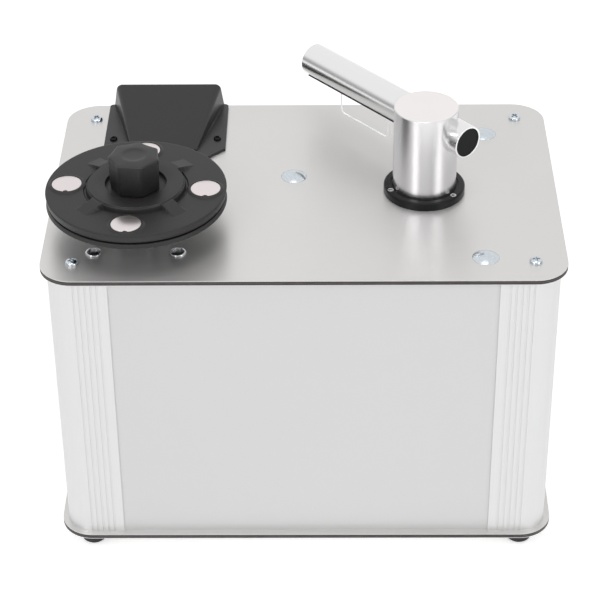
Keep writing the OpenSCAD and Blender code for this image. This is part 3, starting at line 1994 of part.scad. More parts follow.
top_plate_skins();
top_plate_core();
bottom_plate_skins();
bottom_plate_core();
front_corner_profiles();
rear_corner_profiles();
front_panel();
rear_panel();
left_panel();
right_panel();
rubber_feet();
case_screws();
gearbox_housing();
gearbox_cover();
socket_screws();
spindle_bearings();
motor_can();
motor_armature();
motor_pinion();
spindle();
output_gear();
platter_hub();
platter();
platter_mat();
clamp_disc();
clamp_magnets();
clamp_seal();
clamp_knob();
knob_insert();
knob_retainer();
arm_flange();
arm_bearing();
bearing_cap();
swing_sleeve();
lift_spring();
arm_post();
suction_tube();
tube_caps();
felt_strips();
clear_guard();
tank_body();
tank_lid();
tank_bolts();
tank_fittings();
drain_stopper();
vacuum_shelf();
fan_housing();
vacuum_motor();
vacuum_rotor();
exhaust_duct();
air_hose();
exhaust_hood();
hood_screws();
switch_bodies();
vacuum_rocker();
platter_rocker();
mains_inlet();
fuse_drawer();
control_board();
wire_loom();
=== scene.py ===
"""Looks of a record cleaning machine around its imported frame."""

import json
import logging
from math import cos, pi, radians, sin, sqrt
from dataclasses import dataclass, field
from enum import Enum
from functools import partial
from typing import Callable, ClassVar

import bmesh
import bpy
from mathutils import Matrix, Vector

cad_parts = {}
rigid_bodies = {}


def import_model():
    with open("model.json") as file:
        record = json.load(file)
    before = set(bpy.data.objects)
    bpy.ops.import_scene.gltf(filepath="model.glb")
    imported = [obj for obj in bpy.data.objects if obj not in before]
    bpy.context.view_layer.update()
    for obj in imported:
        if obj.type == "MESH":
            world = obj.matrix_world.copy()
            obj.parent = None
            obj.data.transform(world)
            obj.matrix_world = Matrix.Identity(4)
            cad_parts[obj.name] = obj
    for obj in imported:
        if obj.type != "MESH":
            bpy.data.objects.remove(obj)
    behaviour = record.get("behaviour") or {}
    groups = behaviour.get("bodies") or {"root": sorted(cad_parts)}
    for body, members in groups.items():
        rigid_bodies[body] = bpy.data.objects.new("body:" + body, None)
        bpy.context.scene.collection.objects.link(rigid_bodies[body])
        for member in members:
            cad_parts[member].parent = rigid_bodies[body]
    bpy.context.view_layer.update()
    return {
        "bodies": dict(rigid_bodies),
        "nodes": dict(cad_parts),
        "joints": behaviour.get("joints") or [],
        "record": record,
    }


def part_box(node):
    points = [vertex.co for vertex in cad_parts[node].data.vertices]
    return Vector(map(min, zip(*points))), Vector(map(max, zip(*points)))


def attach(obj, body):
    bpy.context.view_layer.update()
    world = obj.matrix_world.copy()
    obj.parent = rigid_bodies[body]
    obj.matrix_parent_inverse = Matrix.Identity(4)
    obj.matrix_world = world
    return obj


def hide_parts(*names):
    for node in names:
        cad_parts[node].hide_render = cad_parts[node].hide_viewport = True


MM = 0.001
SHARP = radians(38)
BUMP_DEPTH = 0.1 * MM
BEVEL_SAMPLES = 4
SPINDLE = (-123.2, -60.0, 0.0)
POST = (91.6, -4.2, 0.0)
ARM_TURN_DEG = 131.1
WHITE = "#FFFFFF"
LOG = logging.getLogger("record_cleaner")

Node = bpy.types.Node
Mesh = bpy.types.Mesh
Material = bpy.types.Material
Adder = Callable[..., Node]
Plan = Callable[[float], float]
Pair = tuple[float, float]
Point = tuple[float, float, float]
Section = tuple[Pair, ...]


class Grain(Enum):
    """Directions in which a metal surface was worked."""

    ALONG = "along x, turned by turn_deg"
    UPRIGHT = "along z"
    AROUND = "round the upright axis through centre_mm"
    NONE = "no direction"


def linear(hex_colour: str) -> tuple[float, float, float, float]:
    """Turn an sRGB hex colour into linear values.

    Args:
        hex_colour: Six hex digits after a hash sign.

    Returns:
        Linear red, green, blue and an alpha of 1.
    """
    parts = [int(hex_colour[i:i + 2], 16) / 255 for i in (1, 3, 5)]
    line = [c / 12.92 if c <= 0.04045 else ((c + 0.055) / 1.055) ** 2.4 for c in parts]
    return (line[0], line[1], line[2], 1.0)


def add_node(tree: bpy.types.NodeTree, kind: str, inputs: dict | None = None) -> Node:
    """Add a node with its settings and its incoming links.

    Args:
        tree: The node tree to add to.
        kind: The node's type name, which for a shader node goes without its ShaderNode.
        inputs: Attribute names, or input names and numbers, with their values. An output
            socket is linked, and so is a node, by its first output.

    Returns:
        The new node.
    """
    node = tree.nodes.new(kind if "Node" in kind else "ShaderNode" + kind)
    for name, value in (inputs or {}).items():
        if isinstance(value, (Node, bpy.types.NodeSocket)):
            tree.links.new(getattr(value, "outputs", (value,))[0], node.inputs[name])
        elif isinstance(name, str) and hasattr(node, name):
            setattr(node, name, value)
        else:
            node.inputs[name].default_value = value
    return node


@dataclass(frozen=True)
class Finish:
    """A procedural surface, named for what the real one is and how it was made."""

    name: str

    def surface(self, add: Adder) -> Node:
        """Add the surface's nodes with add, and return the last one."""
        raise NotImplementedError

    def build(self) -> Material:
        """Make the material.

        Returns:
            The finished material.
        """
        material = bpy.data.materials.new(self.name)
        material.use_nodes = True
        material.node_tree.nodes.clear()
        add = partial(add_node, material.node_tree)
        add("OutputMaterial", {"Surface": self.surface(add)})
        return material


@dataclass(frozen=True)
class Solid(Finish):
    """An opaque surface in two close tones.

    Each kind adds its own bump, edge_mm and specular.
    """

    colour: str
    shade: str
    roughness: float

    def lit(self, add: Adder, pattern: Node, relief: Node, gloss: Pair,
            inputs: dict) -> Node:
        """Add the shader with its gloss, its softened edges and its relief.

        Args:
            add: Adds a node.
            pattern: The pattern that makes the gloss uneven.
            relief: The height of the relief.
            gloss: How far the roughness goes below and above its own value.
            inputs: The shader's other inputs.

        Returns:
            The shader.
        """
        uneven = add("MapRange", {
            "To Min": self.roughness - gloss[0], "To Max": self.roughness + gloss[1],
            "Value": pattern})
        # No worked or moulded edge is quite sharp: it catches a thin line of light.
        soft = add("Bevel", {"samples": BEVEL_SAMPLES, "Radius": self.edge_mm * MM})
        bump = add("Bump", {"Strength": self.bump, "Distance": BUMP_DEPTH,
                            "Height": relief, "Normal": soft})
        return add("BsdfPrincipled", {
            "Specular IOR Level": self.specular, "Roughness": uneven, "Normal": bump,
            **inputs})


@dataclass(frozen=True)
class Worked(Solid):
    """A metal or hard plastic that keeps fine marks of the tool that finished it.

    Real marks are 0.02 to 0.2 mm apart, too fine to show, so pitch_mm draws them coarser.
    """

    grain: Grain
    pitch_mm: float = 0.6
    run_mm: float = 40.0
    bump: float = 0.06
    metallic: float = 1.0
    centre_mm: Point = (0.0, 0.0, 0.0)
    turn_deg: float = 0.0
    drawn_out: float = 0.0
    edge_mm: float = 0.3
    # A lighter colour painted on the upward faces as light; empty for none.
    faced: str = ""
    specular: float = 0.5
    spread: float = 1.0
    cloud_mm: float = 55.0
    cloud_share: float = 0.3

    def surface(self, add: Adder) -> Node:
        """Add the nodes of the worked surface.

        Args:
            add: Adds a node.

        Returns:
            The shader.
        """
        place = add("TexCoord")
        centred = add("Mapping", {
            "vector_type": "TEXTURE", "Location": tuple(c * MM for c in self.centre_mm),
            "Rotation": (0.0, 0.0, radians(self.turn_deg)),
            "Vector": place.outputs["Object"]})
        marks = add("TexNoise", {"Scale": 1.0, "Detail": 3.0, "Roughness": 0.6,
                                 "Vector": self.stretched(add, centred)})
        # Handling and cleaning leave broad, faint clouds on a metal face.
        clouds = add("TexNoise", {"Scale": 1 / (self.cloud_mm * MM), "Detail": 2.0,
                                  "Vector": centred})
        both = add("Mix", {"data_type": "FLOAT", 0: self.cloud_share, 2: marks, 3: clouds})
        tone = add("Mix", {"data_type": "RGBA", 6: linear(self.shade),
                           7: linear(self.colour), 0: both})
        if self.faced:
            # Faces that point up get a lighter colour: painted light, standing for a top that the
            # lamps light more than the turned side.
            upright = add("SeparateXYZ", {"Vector": place.outputs["Normal"]})
            end = add("Math", {"operation": "GREATER_THAN", 1: 0.9, 0: upright.outputs["Z"]})
            tone = add("Mix", {"data_type": "RGBA", 7: linear(self.faced),
                               0: end, 6: tone.outputs[2]})
        inputs = {"Metallic": self.metallic, "Anisotropic": self.drawn_out,
                  "Anisotropic Rotation": 0.25, "Base Color": tone.outputs[2]}
        if self.drawn_out > 0.0:
            inputs["Tangent"] = self.tool_path(add, centred)
        return self.lit(add, both, marks, (0.05 * self.spread, 0.07 * self.spread), inputs)

    def tool_path(self, add: Adder, centred: Node) -> Node:
        """Give the direction of the marks, which draw reflections out across them.

        Args:
            add: Adds a node.
            centred: The centred object coordinates.

        Returns:
            The node with the direction.
        """
        if self.grain is Grain.AROUND:
            parts = add("SeparateXYZ", {"Vector": centred})
            back = add("Math", {"operation": "MULTIPLY", 1: -1.0, 0: parts.outputs["Y"]})
            path = add("CombineXYZ", {"X": back, "Y": parts.outputs["X"]})
        else:
            turn = radians(self.turn_deg)
            aim = ((0.0, 0.0, 1.0) if self.grain is Grain.UPRIGHT
                   else (cos(turn), sin(turn), 0.0))
            path = add("CombineXYZ", dict(zip("XYZ", aim)))
        return add("VectorTransform", {
            "vector_type": "VECTOR", "convert_from": "OBJECT", "convert_to": "WORLD",
            "Vector": path})

    def stretched(self, add: Adder, source: Node) -> Node:
        """Stretch the pattern along the tool's path.

        Args:
            add: Adds a node.
            source: The centred object coordinates.

        Returns:
            The node with the stretched coordinates.
        """
        fine, slow = 1 / (self.pitch_mm * MM), 1 / (self.run_mm * MM)
        scale = {Grain.ALONG: (slow, fine, fine), Grain.UPRIGHT: (fine, fine, slow)}.get(
            self.grain, (fine, fine, fine))
        if self.grain is Grain.AROUND:
            parts = add("SeparateXYZ", {"Vector": source})
            flat = add("CombineXYZ", {"X": parts.outputs["X"], "Y": parts.outputs["Y"]})
            radius = add("VectorMath", {"operation": "LENGTH", 0: flat})
            source = add("CombineXYZ", {"X": radius.outputs["Value"], "Z": parts.outputs["Z"]})
        return add("VectorMath", {"operation": "MULTIPLY", 1: scale, 0: source})


@dataclass(frozen=True)
class Moulded(Solid):
    """A moulded or pressed plastic, rubber or board with a fine surface texture.

    A real mould's texture is finer than 0.3 mm, so grain_mm draws it as coarse as it shows.
    """

    grain_mm: float = 0.7
    bump: float = 0.15
    coat: float = 0.0
    sheen: float = 0.0
    edge_mm: float = 0.4
    specular: float = 0.5
    handled_mm: float = 18.0

    def surface(self, add: Adder) -> Node:
        """Add the nodes of the moulded surface.

        Args:
            add: Adds a node.

        Returns:
            The shader.
        """
        place = add("TexCoord").outputs["Object"]
        grit = add("TexNoise", {"Scale": 1 / (self.grain_mm * MM), "Detail": 2.0,
                                "Roughness": 0.5, "Vector": place})
        # Fingers leave patches that are a little paler and duller.
        handled = add("TexNoise", {"Scale": 1 / (self.handled_mm * MM), "Detail": 3.0,
                                   "Vector": place})
        both = add("Mix", {"data_type": "FLOAT", 0: 0.5, 2: grit, 3: handled})
        wear = add("MapRange", {"From Min": 0.3, "From Max": 0.7, "Value": both})
        tone = add("Mix", {"data_type": "RGBA", 6: linear(self.colour),
                           7: linear(self.shade), 0: wear})
        return self.lit(add, both, grit, (0.05, 0.06), {
            "Coat Weight": self.coat, "Sheen Weight": self.sheen, "Sheen Roughness": 0.4,
            "Base Color": tone.outputs[2]})


@dataclass(frozen=True)
class CompositeCore(Finish):
    """The edge of a composite sheet: dark filled plastic with a paler middle band, a painted
    highlight broken into patches.
    """

    node: str
    colour: str = "#332F2F"
    # The paler middle band's colour is a painted highlight.
    band: str = "#635D5C"
    full_mm: float = 0.35
    end_mm: float = 0.85
    highlight_patch_mm: float = 9.0

    def surface(self, add: Adder) -> Node:
        """Add the nodes of the sawn core.

        Args:
            add: Adds a node.

        Returns:
            The shader.
        """
        low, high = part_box(self.node)
        place = add("TexCoord").outputs["Object"]
        parts = add("SeparateXYZ", {"Vector": place})
        # Painted highlight: a paler band along the middle height of the edge, broken into
        # patches.
        off = add("Math", {"operation": "SUBTRACT", 1: (low.z + high.z) / 2,
                           0: parts.outputs["Z"]})
        far = add("Math", {"operation": "ABSOLUTE", 0: off})
        band = add("MapRange", {
            "From Min": self.full_mm * MM, "From Max": self.end_mm * MM, "To Min": 1.0,
            "To Max": 0.0, "Value": far})
        highlight_patches = add("TexNoise", {"Scale": 1 / (self.highlight_patch_mm * MM), "Detail": 3.0,
                                 "Vector": place})
        patchy = add("Math", {"operation": "MULTIPLY", 0: band, 1: highlight_patches})
        tone = add("Mix", {"data_type": "RGBA", 6: linear(self.colour),
                           7: linear(self.band), 0: patchy})
        return add("BsdfPrincipled", {"Roughness": 0.6, "Base Color": tone.outputs[2]})


@dataclass(frozen=True)
class ClearSheet(Finish):
    """Clear acrylic with sawn edges: colourless faces, and edges that scatter white light and
    carry a painted glow.
    """

    turn_deg: float
    bends: float = 1.04
    wiped_mm: float = 6.0
    saw_mm: float = 0.5
    painted_edge_glow: float = 0.25

    def surface(self, add: Adder) -> Node:
        """Add the nodes of the faces and the edges.

        Args:
            add: Adds a node.

        Returns:
            The shader.
        """
        place = add("TexCoord")
        wiped = add("TexNoise", {"Scale": 1 / (self.wiped_mm * MM), "Detail": 3.0,
                                 "Vector": place.outputs["Object"]})
        gloss = add("MapRange", {"To Min": 0.0, "To Max": 0.04, "Value": wiped})
        face = add("BsdfPrincipled", {
            "Base Color": linear(WHITE), "Transmission Weight": 1.0, "IOR": self.bends,
            "Roughness": gloss})
        saw = add("TexNoise", {"Scale": 1 / (self.saw_mm * MM), "Detail": 2.0,
                               "Vector": place.outputs["Object"]})
        rough = add("Bump", {"Strength": 0.2, "Distance": BUMP_DEPTH, "Height": saw})
        # A clear sheet pipes light to its sawn edges, which look brighter than what is behind;
        # the edges' emission is a painted glow standing in for that light.
        edge = add("BsdfPrincipled", {
            "Base Color": linear(WHITE), "Roughness": 0.45, "Emission Color": linear(WHITE),
            "Emission Strength": self.painted_edge_glow, "Normal": rough})
        turn = radians(self.turn_deg)
        across = add("VectorMath", {"operation": "DOT_PRODUCT", 1: (-sin(turn), cos(turn), 0.0),
            0: place.outputs["Normal"]})
        flat = add("Math", {"operation": "ABSOLUTE", 0: across.outputs["Value"]})
        on_face = add("Math", {"operation": "GREATER_THAN", 1: 0.7, 0: flat})
        return add("MixShader", {0: on_face, 1: edge, 2: face})


def seen_rays(add: Adder) -> tuple[Node, Node]:
    """Mark the rays that show the surround itself: direct, mirrored or through a clear sheet.

    Args:
        add: Adds a node.

    Returns:
        The light path node, and the node with 1 for such a ray.
    """
    rays = add("LightPath")
    seen = add("Math", {"operation": "MAXIMUM", 
        0: rays.outputs["Is Camera Ray"], 1: rays.outputs["Is Glossy Ray"]})
    return rays, add("Math", {"operation": "MAXIMUM", 
        0: seen, 1: rays.outputs["Is Transmission Ray"]})


@dataclass(frozen=True)
class StudioPaper(Finish):
    """Matt paper that shows white and still takes the object's shadow."""

    colour: str = "#F4F4F4"
    glow: float = 0.5

    def surface(self, add: Adder) -> Node:
        """Add the nodes of the paper.

        Args:
            add: Adds a node.

        Returns:
            The shader.
        """
        strength = add("Math", {"operation": "MULTIPLY", 1: self.glow, 0: seen_rays(add)[1]})
        paper = add("BsdfDiffuse", {"Color": linear(self.colour)})
        light = add("Emission", {"Color": linear(WHITE), "Strength": strength})
        return add("AddShader", {0: paper, 1: light})


@dataclass(frozen=True)
class Ring:
    """One closed line of a turned or moulded form: its radius and height at each angle."""

    radius: float | Plan
    height: float | Callable[[float, float], float]

    def points(self, count: int) -> list[Point]:
        """Lay the ring's points out, in millimetres.

        Args:
            count: The number of points.

        Returns:
            The points, from the x axis round.
        """
        out = []
        for step in range(count):
            angle = 2 * pi * step / count
            radius = self.radius(angle) if callable(self.radius) else self.radius
            height = self.height(radius, angle) if callable(self.height) else self.height
            out.append((radius * cos(angle), radius * sin(angle), height))
        return out


def settled(name: str, form: bmesh.types.BMesh) -> Mesh:
    """Turn a form into a smooth mesh whose steep edges stay sharp.

    Args:
        name: The mesh's name.
        form: The form, which is freed.

    Returns:
        The mesh.
    """
    mesh = bpy.data.meshes.new(name)
    form.to_mesh(mesh)
    form.free()
    mesh.shade_smooth()
    mesh.set_sharp_from_angle(angle=SHARP)
    return mesh


def skin(name: str, rings: list[Ring], count: int, closed: bool = False,
         place_mm: Point = (0.0, 0.0, 0.0)) -> Mesh:
    """Join rings to one smooth closed surface.

    Args:
        name: The mesh's name.
        rings: The rings in order.
        count: Points in a ring.
        closed: Whether the last ring joins the first, as round a bore; else poles close it.
        place_mm: Where the form's own origin goes.

    Returns:
        The mesh, in metres.
    """
    form = bmesh.new()
    shift = Vector(place_mm)
    rows = [[form.verts.new((shift + Vector(point)) * MM) for point in ring.points(count)]
            for ring in rings]
    pairs = zip(rows, rows[1:] + rows[:1] if closed else rows[1:])
    for low, high in pairs:
        for step in range(count):
            after = (step + 1) % count
            form.faces.new((low[step], low[after], high[after], high[step]))
    if not closed:
        for row, flip in ((rows[0], True), (rows[-1], False)):
            middle = form.verts.new(sum((v.co for v in row), Vector()) / count)
            for step in range(count):
                pair = (row[step], row[(step + 1) % count])
                form.faces.new((middle, *(reversed(pair) if flip else pair)))
    bmesh.ops.recalc_face_normals(form, faces=form.faces)
    return settled(name, form)


def cross_radius(half_width: float, reach: float) -> Plan:
    """Outline of a cross recess.

    Args:
        half_width: Half the width of an arm.
        reach: Length of an arm from the middle.

    Returns:
        The radius at an angle.
    """
    def radius(angle: float) -> float:
        """Radius at an angle."""
        fold = abs((angle + pi / 4) % (pi / 2) - pi / 4)
        return min(reach / cos(fold), half_width / max(sin(fold), 1e-6))
    return radius


def flats_radius(corner: float, sides: int, hollow: float = 0.0, turn_deg: float = 0.0,
                 soften: float = 0.0, rounded: float = 0.22) -> Plan:
    """Outline with equal sides, hollowed a little where a hand holds it.

    Args:
        corner: Radius over the corners.
        sides: Number of sides.
        hollow: Depth of each side below a straight one.
        turn_deg: Turn of the first corner.
        soften: How far the rounded corners lie inside sharp ones.
        rounded: Share of a side that is rounded to its corner.

    Returns:
        The radius at an angle.
    """
    half = pi / sides

    def radius(angle: float) -> float:
        """Radius at an angle."""
        off = (angle - radians(turn_deg)) % (2 * half) - half
        straight = corner * cos(half) / cos(off)
        near_corner = max(abs(off) / half - (1 - rounded), 0.0) / rounded
        return straight - hollow * (1 - (off / half) ** 2) - soften * near_corner ** 2
    return radius


def smooth_step(low: float, high: float, value: float) -> float:
    """Rise smoothly from 0 at low to 1 at high.

    Args:
        low: Where the rise starts.
        high: Where it ends.
        value: The place asked for.

    Returns:
        The share from 0 to 1.
    """
    share = min(max((value - low) / (high - low), 0.0), 1.0)
    return share * share * (3 - 2 * share)


def placed(name: str, data: bpy.types.ID) -> bpy.types.Object:
    """Put data into the scene as an object, and return it."""
    made = bpy.data.objects.new(name, data)
    bpy.context.scene.collection.objects.link(made)
    return made


def add_piece(name: str, mesh: Mesh, finish: Material, body: str,
              node: str) -> None:
    """Put a finished mesh into the scene in place of a CAD node.

    Args:
        name: The piece's name.
        mesh: Its mesh, at its place.
        finish: Its material.
        body: The body that it moves with.
        node: The CAD node that it stands for.
    """
    mesh.materials.clear()
    mesh.materials.append(finish)
    piece = placed(name, mesh)
    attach(piece, body)
    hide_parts(node)
    LOG.info("made %s for %s", name, node)


def joined(name: str, meshes: list[Mesh]) -> Mesh:
    """Join meshes to one.

    Args:
        name: The joined mesh's name.
        meshes: The meshes, each at its place.

    Returns:
        The joined mesh.
    """
    form = bmesh.new()
    for part in meshes:
        form.from_mesh(part)
    return settled(name, form)


@dataclass
class CopySet:
    """One form set on several points by Geometry Nodes, such as a set of screws."""

    name: str
    form: Mesh
    spots_mm: list[Point]
    flips: list[bool] = field(default_factory=list)
    first_turn_deg: float = 0.0
    next_turn_deg: float = 0.0

    def tree(self) -> bpy.types.GeometryNodeTree:
        """Make the node tree with its named inputs.

        Returns:
            The tree.
        """
        tree = bpy.data.node_groups.new(self.name + "_copies", "GeometryNodeTree")
        for label, kind in (("Points", "Geometry"), ("Form", "Object"), ("First Turn", "Float"),
                            ("Next Turn", "Float"), ("Finish", "Material")):
            tree.interface.new_socket(name=label, in_out="INPUT",
                                      socket_type="NodeSocket" + kind)
        tree.interface.new_socket(name="Copies", in_out="OUTPUT",
                                  socket_type="NodeSocketGeometry")
        add = partial(add_node, tree)
        given = add("NodeGroupInput").outputs
        form = add("GeometryNodeObjectInfo", {"As Instance": True, "Object": given["Form"]})
        turn = add("Math", {"operation": "MULTIPLY_ADD", 
            0: add("GeometryNodeInputIndex"), 1: given["Next Turn"], 2: given["First Turn"]})
        spin = add("CombineXYZ", {"Z": turn})
        aim = add("GeometryNodeInputNamedAttribute", {
            "data_type": "FLOAT_VECTOR", "Name": "aim"})
        whole = add("VectorMath", {"operation": "ADD", 0: aim.outputs["Attribute"], 1: spin})
        copies = add("GeometryNodeInstanceOnPoints", {
            "Points": given["Points"], "Instance": form.outputs["Geometry"],
            "Rotation": whole})
        real = add("GeometryNodeRealizeInstances", {"Geometry": copies})
        dressed = add("GeometryNodeSetMaterial", {
            "Geometry": real, "Material": given["Finish"]})
        add("NodeGroupOutput", {"Copies": dressed})
        return tree

    def mesh(self, finish: Material) -> Mesh:
        """Set the copies and keep them as one plain mesh.

        Args:
            finish: The material that the tree gives them.

        Returns:
            The mesh with every copy at its place.
        """
        points = bpy.data.meshes.new(self.name + "_points")
        points.from_pydata([tuple(v * MM for v in spot) for spot in self.spots_mm], [], [])
        aims = points.attributes.new("aim", "FLOAT_VECTOR", "POINT")
        for place, flip in enumerate(self.flips):
            aims.data[place].vector = (pi if flip else 0.0, 0.0, 0.0)
        holder = placed(self.name + "_holder", points)
        pattern = placed(self.name + "_form", self.form)
        tree = self.tree()
        values = {"Form": pattern, "First Turn": radians(self.first_turn_deg),
                  "Next Turn": radians(self.next_turn_deg), "Finish": finish}
        modifier = holder.modifiers.new("copies", "NODES")
        modifier.node_group = tree
        for item in tree.interface.items_tree:
            if item.in_out == "INPUT" and item.name in values:
                modifier[item.identifier] = values[item.name]
        bpy.context.view_layer.update()
        graph = bpy.context.evaluated_depsgraph_get()
        made = bpy.data.meshes.new_from_object(holder.evaluated_get(graph))
        made.name = self.name
        holder.modifiers.remove(modifier)
        bpy.data.objects.remove(holder)
        bpy.data.objects.remove(pattern)
        bpy.data.node_groups.remove(tree)
        return made


@dataclass(frozen=True)
class ScrewForm:
    """A domed or flat screw with a drive recess."""

    head_r: float
    head_h: float
    shank_r: float
    shank_l: float
    recess: Plan
    recess_depth: float
    flat: bool = False
    rim_share: float = 0.22
    fullness: float = 2.4
    lip: float = 0.25
    foot_edge: float = 0.15
    tip_h: float = 0.8
    points: int = 48

    def dome(self, radius: float, _angle: float = 0.0) -> float:
        """Height of the head's top at a radius.

        Args:
            radius: Distance from the screw's axis.
            _angle: Not used, since the head is round; a ring gives it.

        Returns:
            The height above the seat.
        """
        if self.flat:
            return self.head_h
        share = min(radius / self.head_r, 1.0)
        bulge = sqrt(max(1 - share ** self.fullness, 0.0))
        return self.head_h * (self.rim_share + (1 - self.rim_share) * bulge)

    def mesh(self, name: str) -> Mesh:
        """Make the screw upright, with its seat at the origin.

        Args:
            name: The mesh's name.

        Returns:
            The mesh.
        """
        floor = self.head_h - self.recess_depth
        rings = [Ring(self.shank_r * 0.7, -self.shank_l),
                 Ring(self.shank_r, self.tip_h - self.shank_l), Ring(self.shank_r, 0.0),
                 Ring(self.head_r - self.foot_edge, 0.0), Ring(self.head_r, self.foot_edge)]
        if self.flat:
            rings += [Ring(self.head_r - inset, self.head_h - drop)
                      for inset, drop in ((0.0, 0.35), (0.1, 0.1), (0.35, 0.0))]
        else:
            rings += [Ring(self.head_r * share, self.dome)
                      for share in (1.0, 0.98, 0.94, 0.88, 0.8, 0.72)]
        rings += [Ring(lambda angle: self.recess(angle) + self.lip, self.dome),
                  Ring(self.recess, lambda r, a: self.dome(r) - self.lip),
                  Ring(self.recess, floor),
                  Ring(lambda angle: 0.3 * self.recess(angle), floor - 0.1)]
        return skin(name, rings, self.points)


@dataclass
class Studio:
    """A pale floor, soft lamps and the camera at the photograph's viewing angle."""

    eye: Point = (0.01538, -1.37286, 1.10984)
    pitch: float = 0.606858
    yaw: float = -0.0144257
    roll: float = -0.0110219
    lens_mm: float = 125.84
    sensor_mm: float = 36.0
    sight_end: float = 50.0
    floor_size: float = 16.0
    world_light: float = 0.55
    wall_height: Pair = (0.1, 0.45)
    wall_reach: Pair = (0.3, 0.7)
    wall_dim: float = 0.62
    lamp_aim: Point = (0.0, 0.0, 0.2)
    lamps: tuple[tuple[str, Point, float, float], ...] = (
        ("key_lamp", (-1.1, -1.5, 1.6), 0.7, 9.0),
        ("fill_lamp", (1.4, -1.2, 1.2), 0.7, 6.0),
        ("top_lamp", (0.0, -0.5, 2.2), 1.0, 4.0))

    def build(self) -> None:
        """Make the floor, the world, the lamps and the camera."""
        self.add_camera()
        self.add_floor()
        self.add_world()
        self.add_lamps()
        bpy.context.scene.view_settings.view_transform = "Standard"
        LOG.info("made the camera, the floor, the world and the lamps")

    def add_camera(self) -> None:
        """Place the camera from the photograph's own perspective."""
        forward = Vector((sin(self.yaw) * cos(self.pitch),
                          cos(self.yaw) * cos(self.pitch), -sin(self.pitch)))
        level = Vector((cos(self.yaw), -sin(self.yaw), 0.0))
        upright = level.cross(forward)
        right = cos(self.roll) * level + sin(self.roll) * upright
        up = -sin(self.roll) * level + cos(self.roll) * upright
        turn = Matrix((right, up, -forward)).transposed().to_4x4()
        lens = bpy.data.cameras.new("photo_camera")
        lens.lens = self.lens_mm
        lens.sensor_width = self.sensor_mm
        lens.clip_end = self.sight_end
        camera = placed("photo_camera", lens)
        camera.matrix_world = Matrix.Translation(self.eye) @ turn
        bpy.context.scene.camera = camera

    def add_floor(self) -> None:
        """Lay a wide sheet of pale paper."""
        half = self.floor_size / 2
        mesh = bpy.data.meshes.new("studio_floor")
        mesh.from_pydata([(-half, -half, 0), (half, -half, 0), (half, half, 0), (-half, half, 0)],
                         [], [(0, 1, 2, 3)])
        mesh.materials.append(StudioPaper("white_studio_paper").build())
        placed("studio_floor", mesh)

    def add_world(self) -> None:
        """Make a plain white surround, which metal sees darker low down at the sides."""
        world = bpy.data.worlds.new("studio_world")
        world.use_nodes = True
        bpy.context.scene.world = world
        world.node_tree.nodes.clear()
        add = partial(add_node, world.node_tree)
        rays, seen = seen_rays(add)
        strength = add("MapRange", {"To Min": self.world_light, "To Max": 1.0, "Value": seen})
        # The room beside and behind the camera is dim near the floor, as polished tubes show.
        aim = add("SeparateXYZ", {"Vector": add("TexCoord").outputs["Generated"]})
        low, near = (add("MapRange", {
            "interpolation_type": "SMOOTHSTEP", "From Min": ends[0], "From Max": ends[1],
            "To Min": most, "To Max": 0.0, "Value": aim.outputs[axis]})
            for axis, ends, most in (("Z", self.wall_height, self.wall_dim),
                                     ("Y", self.wall_reach, 1.0)))
        wall = add("Math", {"operation": "MULTIPLY", 0: low, 1: near})
        wall = add("Math", {"operation": "MULTIPLY", 0: wall, 1: rays.outputs["Is Glossy Ray"]})
        level = add("Math", {"operation": "SUBTRACT", 0: strength, 1: wall})
        sky = add("Background", {"Color": linear(WHITE), "Strength": level})
        add("OutputWorld", {"Surface": sky})

    def add_lamps(self) -> None:
        """Hang a large soft key lamp at the upper left, a fill at the right and one above."""
        for name, place, size, power in self.lamps:
            data = bpy.data.lights.new(name, "AREA")
            data.shape = "DISK"
            data.size = size
            data.energy = power
            aim = (Vector(self.lamp_aim) - Vector(place)).to_track_quat("-Z", "Y")
            placed(name, data).matrix_world = (
                Matrix.Translation(place) @ aim.to_matrix().to_4x4())


@dataclass
class Dressing:
    """A part of the machine whose CAD nodes keep their shape and take finishes.

    In finishes, each finish is followed by the names of its nodes.
    """

    frame: dict
    finishes: ClassVar[tuple[tuple, ...]] = ()

    def build(self) -> None:
        """Give each node its finish."""
        for finish, *names in self.finishes:
            material = finish.build()
            for name in names:
                mesh = self.frame["nodes"][name].data
                if not mesh.materials:
                    mesh.materials.append(material)
                for slot in range(len(mesh.materials)):
                    mesh.materials[slot] = material
                LOG.info("dressed %s in %s", name, material.name)


ON_SPINDLE = partial(Worked, grain=Grain.AROUND, centre_mm=SPINDLE)
ON_POST = partial(Worked, grain=Grain.AROUND, centre_mm=POST)


class Case(Dressing):
    """The box: plates, profiles, panels, feet and the tank's bolts."""

    finishes = (
        # Long brushed lines draw each reflection out into a soft, broad band.
        (Worked("satin_anodised_aluminium_sheet", "#DBDAD9", "#D5D4D3", 0.42,
                Grain.ALONG, 0.7, 18.0, 0.04, drawn_out=0.75, edge_mm=0.15),
         "top_plate_skins", "bottom_plate_skins"),
        # A sawn edge is matt and nearly black, with a painted highlight along its middle.
        (CompositeCore("composite_core_top", "top_plate_core"), "top_plate_core"),
        (CompositeCore("composite_core_bottom", "bottom_plate_core"), "bottom_plate_core"),
        # A pressed-out profile is even and silky, so only its flutes give it lines.
        (Worked("anodised_aluminium_extrusion", "#E2E2E2", "#DADADA", 0.42,
                Grain.UPRIGHT, 0.6, 60.0, 0.04, 0.7),
         "front_corner_profiles", "rear_corner_profiles"),
        # An etched panel has no direction and reads as a flat pale grey.
        (Worked("matt_anodised_aluminium_panel", "#DADADA", "#D3D3D3", 0.5,
                Grain.NONE, 0.9, bump=0.05, metallic=0.6),
         "front_panel", "rear_panel", "left_panel", "right_panel"),
        # Rubber takes up light, so the feet stay dull and dark.
        (Moulded("moulded_black_rubber", "#1B1B1B", "#292929", 0.6, 0.9, 0.2), "rubber_feet"),
        # Thin bright zinc has a cool, slightly blue shine.
        (Worked("bright_zinc_plated_steel", "#E4EAEE", "#B4BDC4", 0.24, Grain.NONE,
                1.6, bump=0.12), "tank_bolts"))


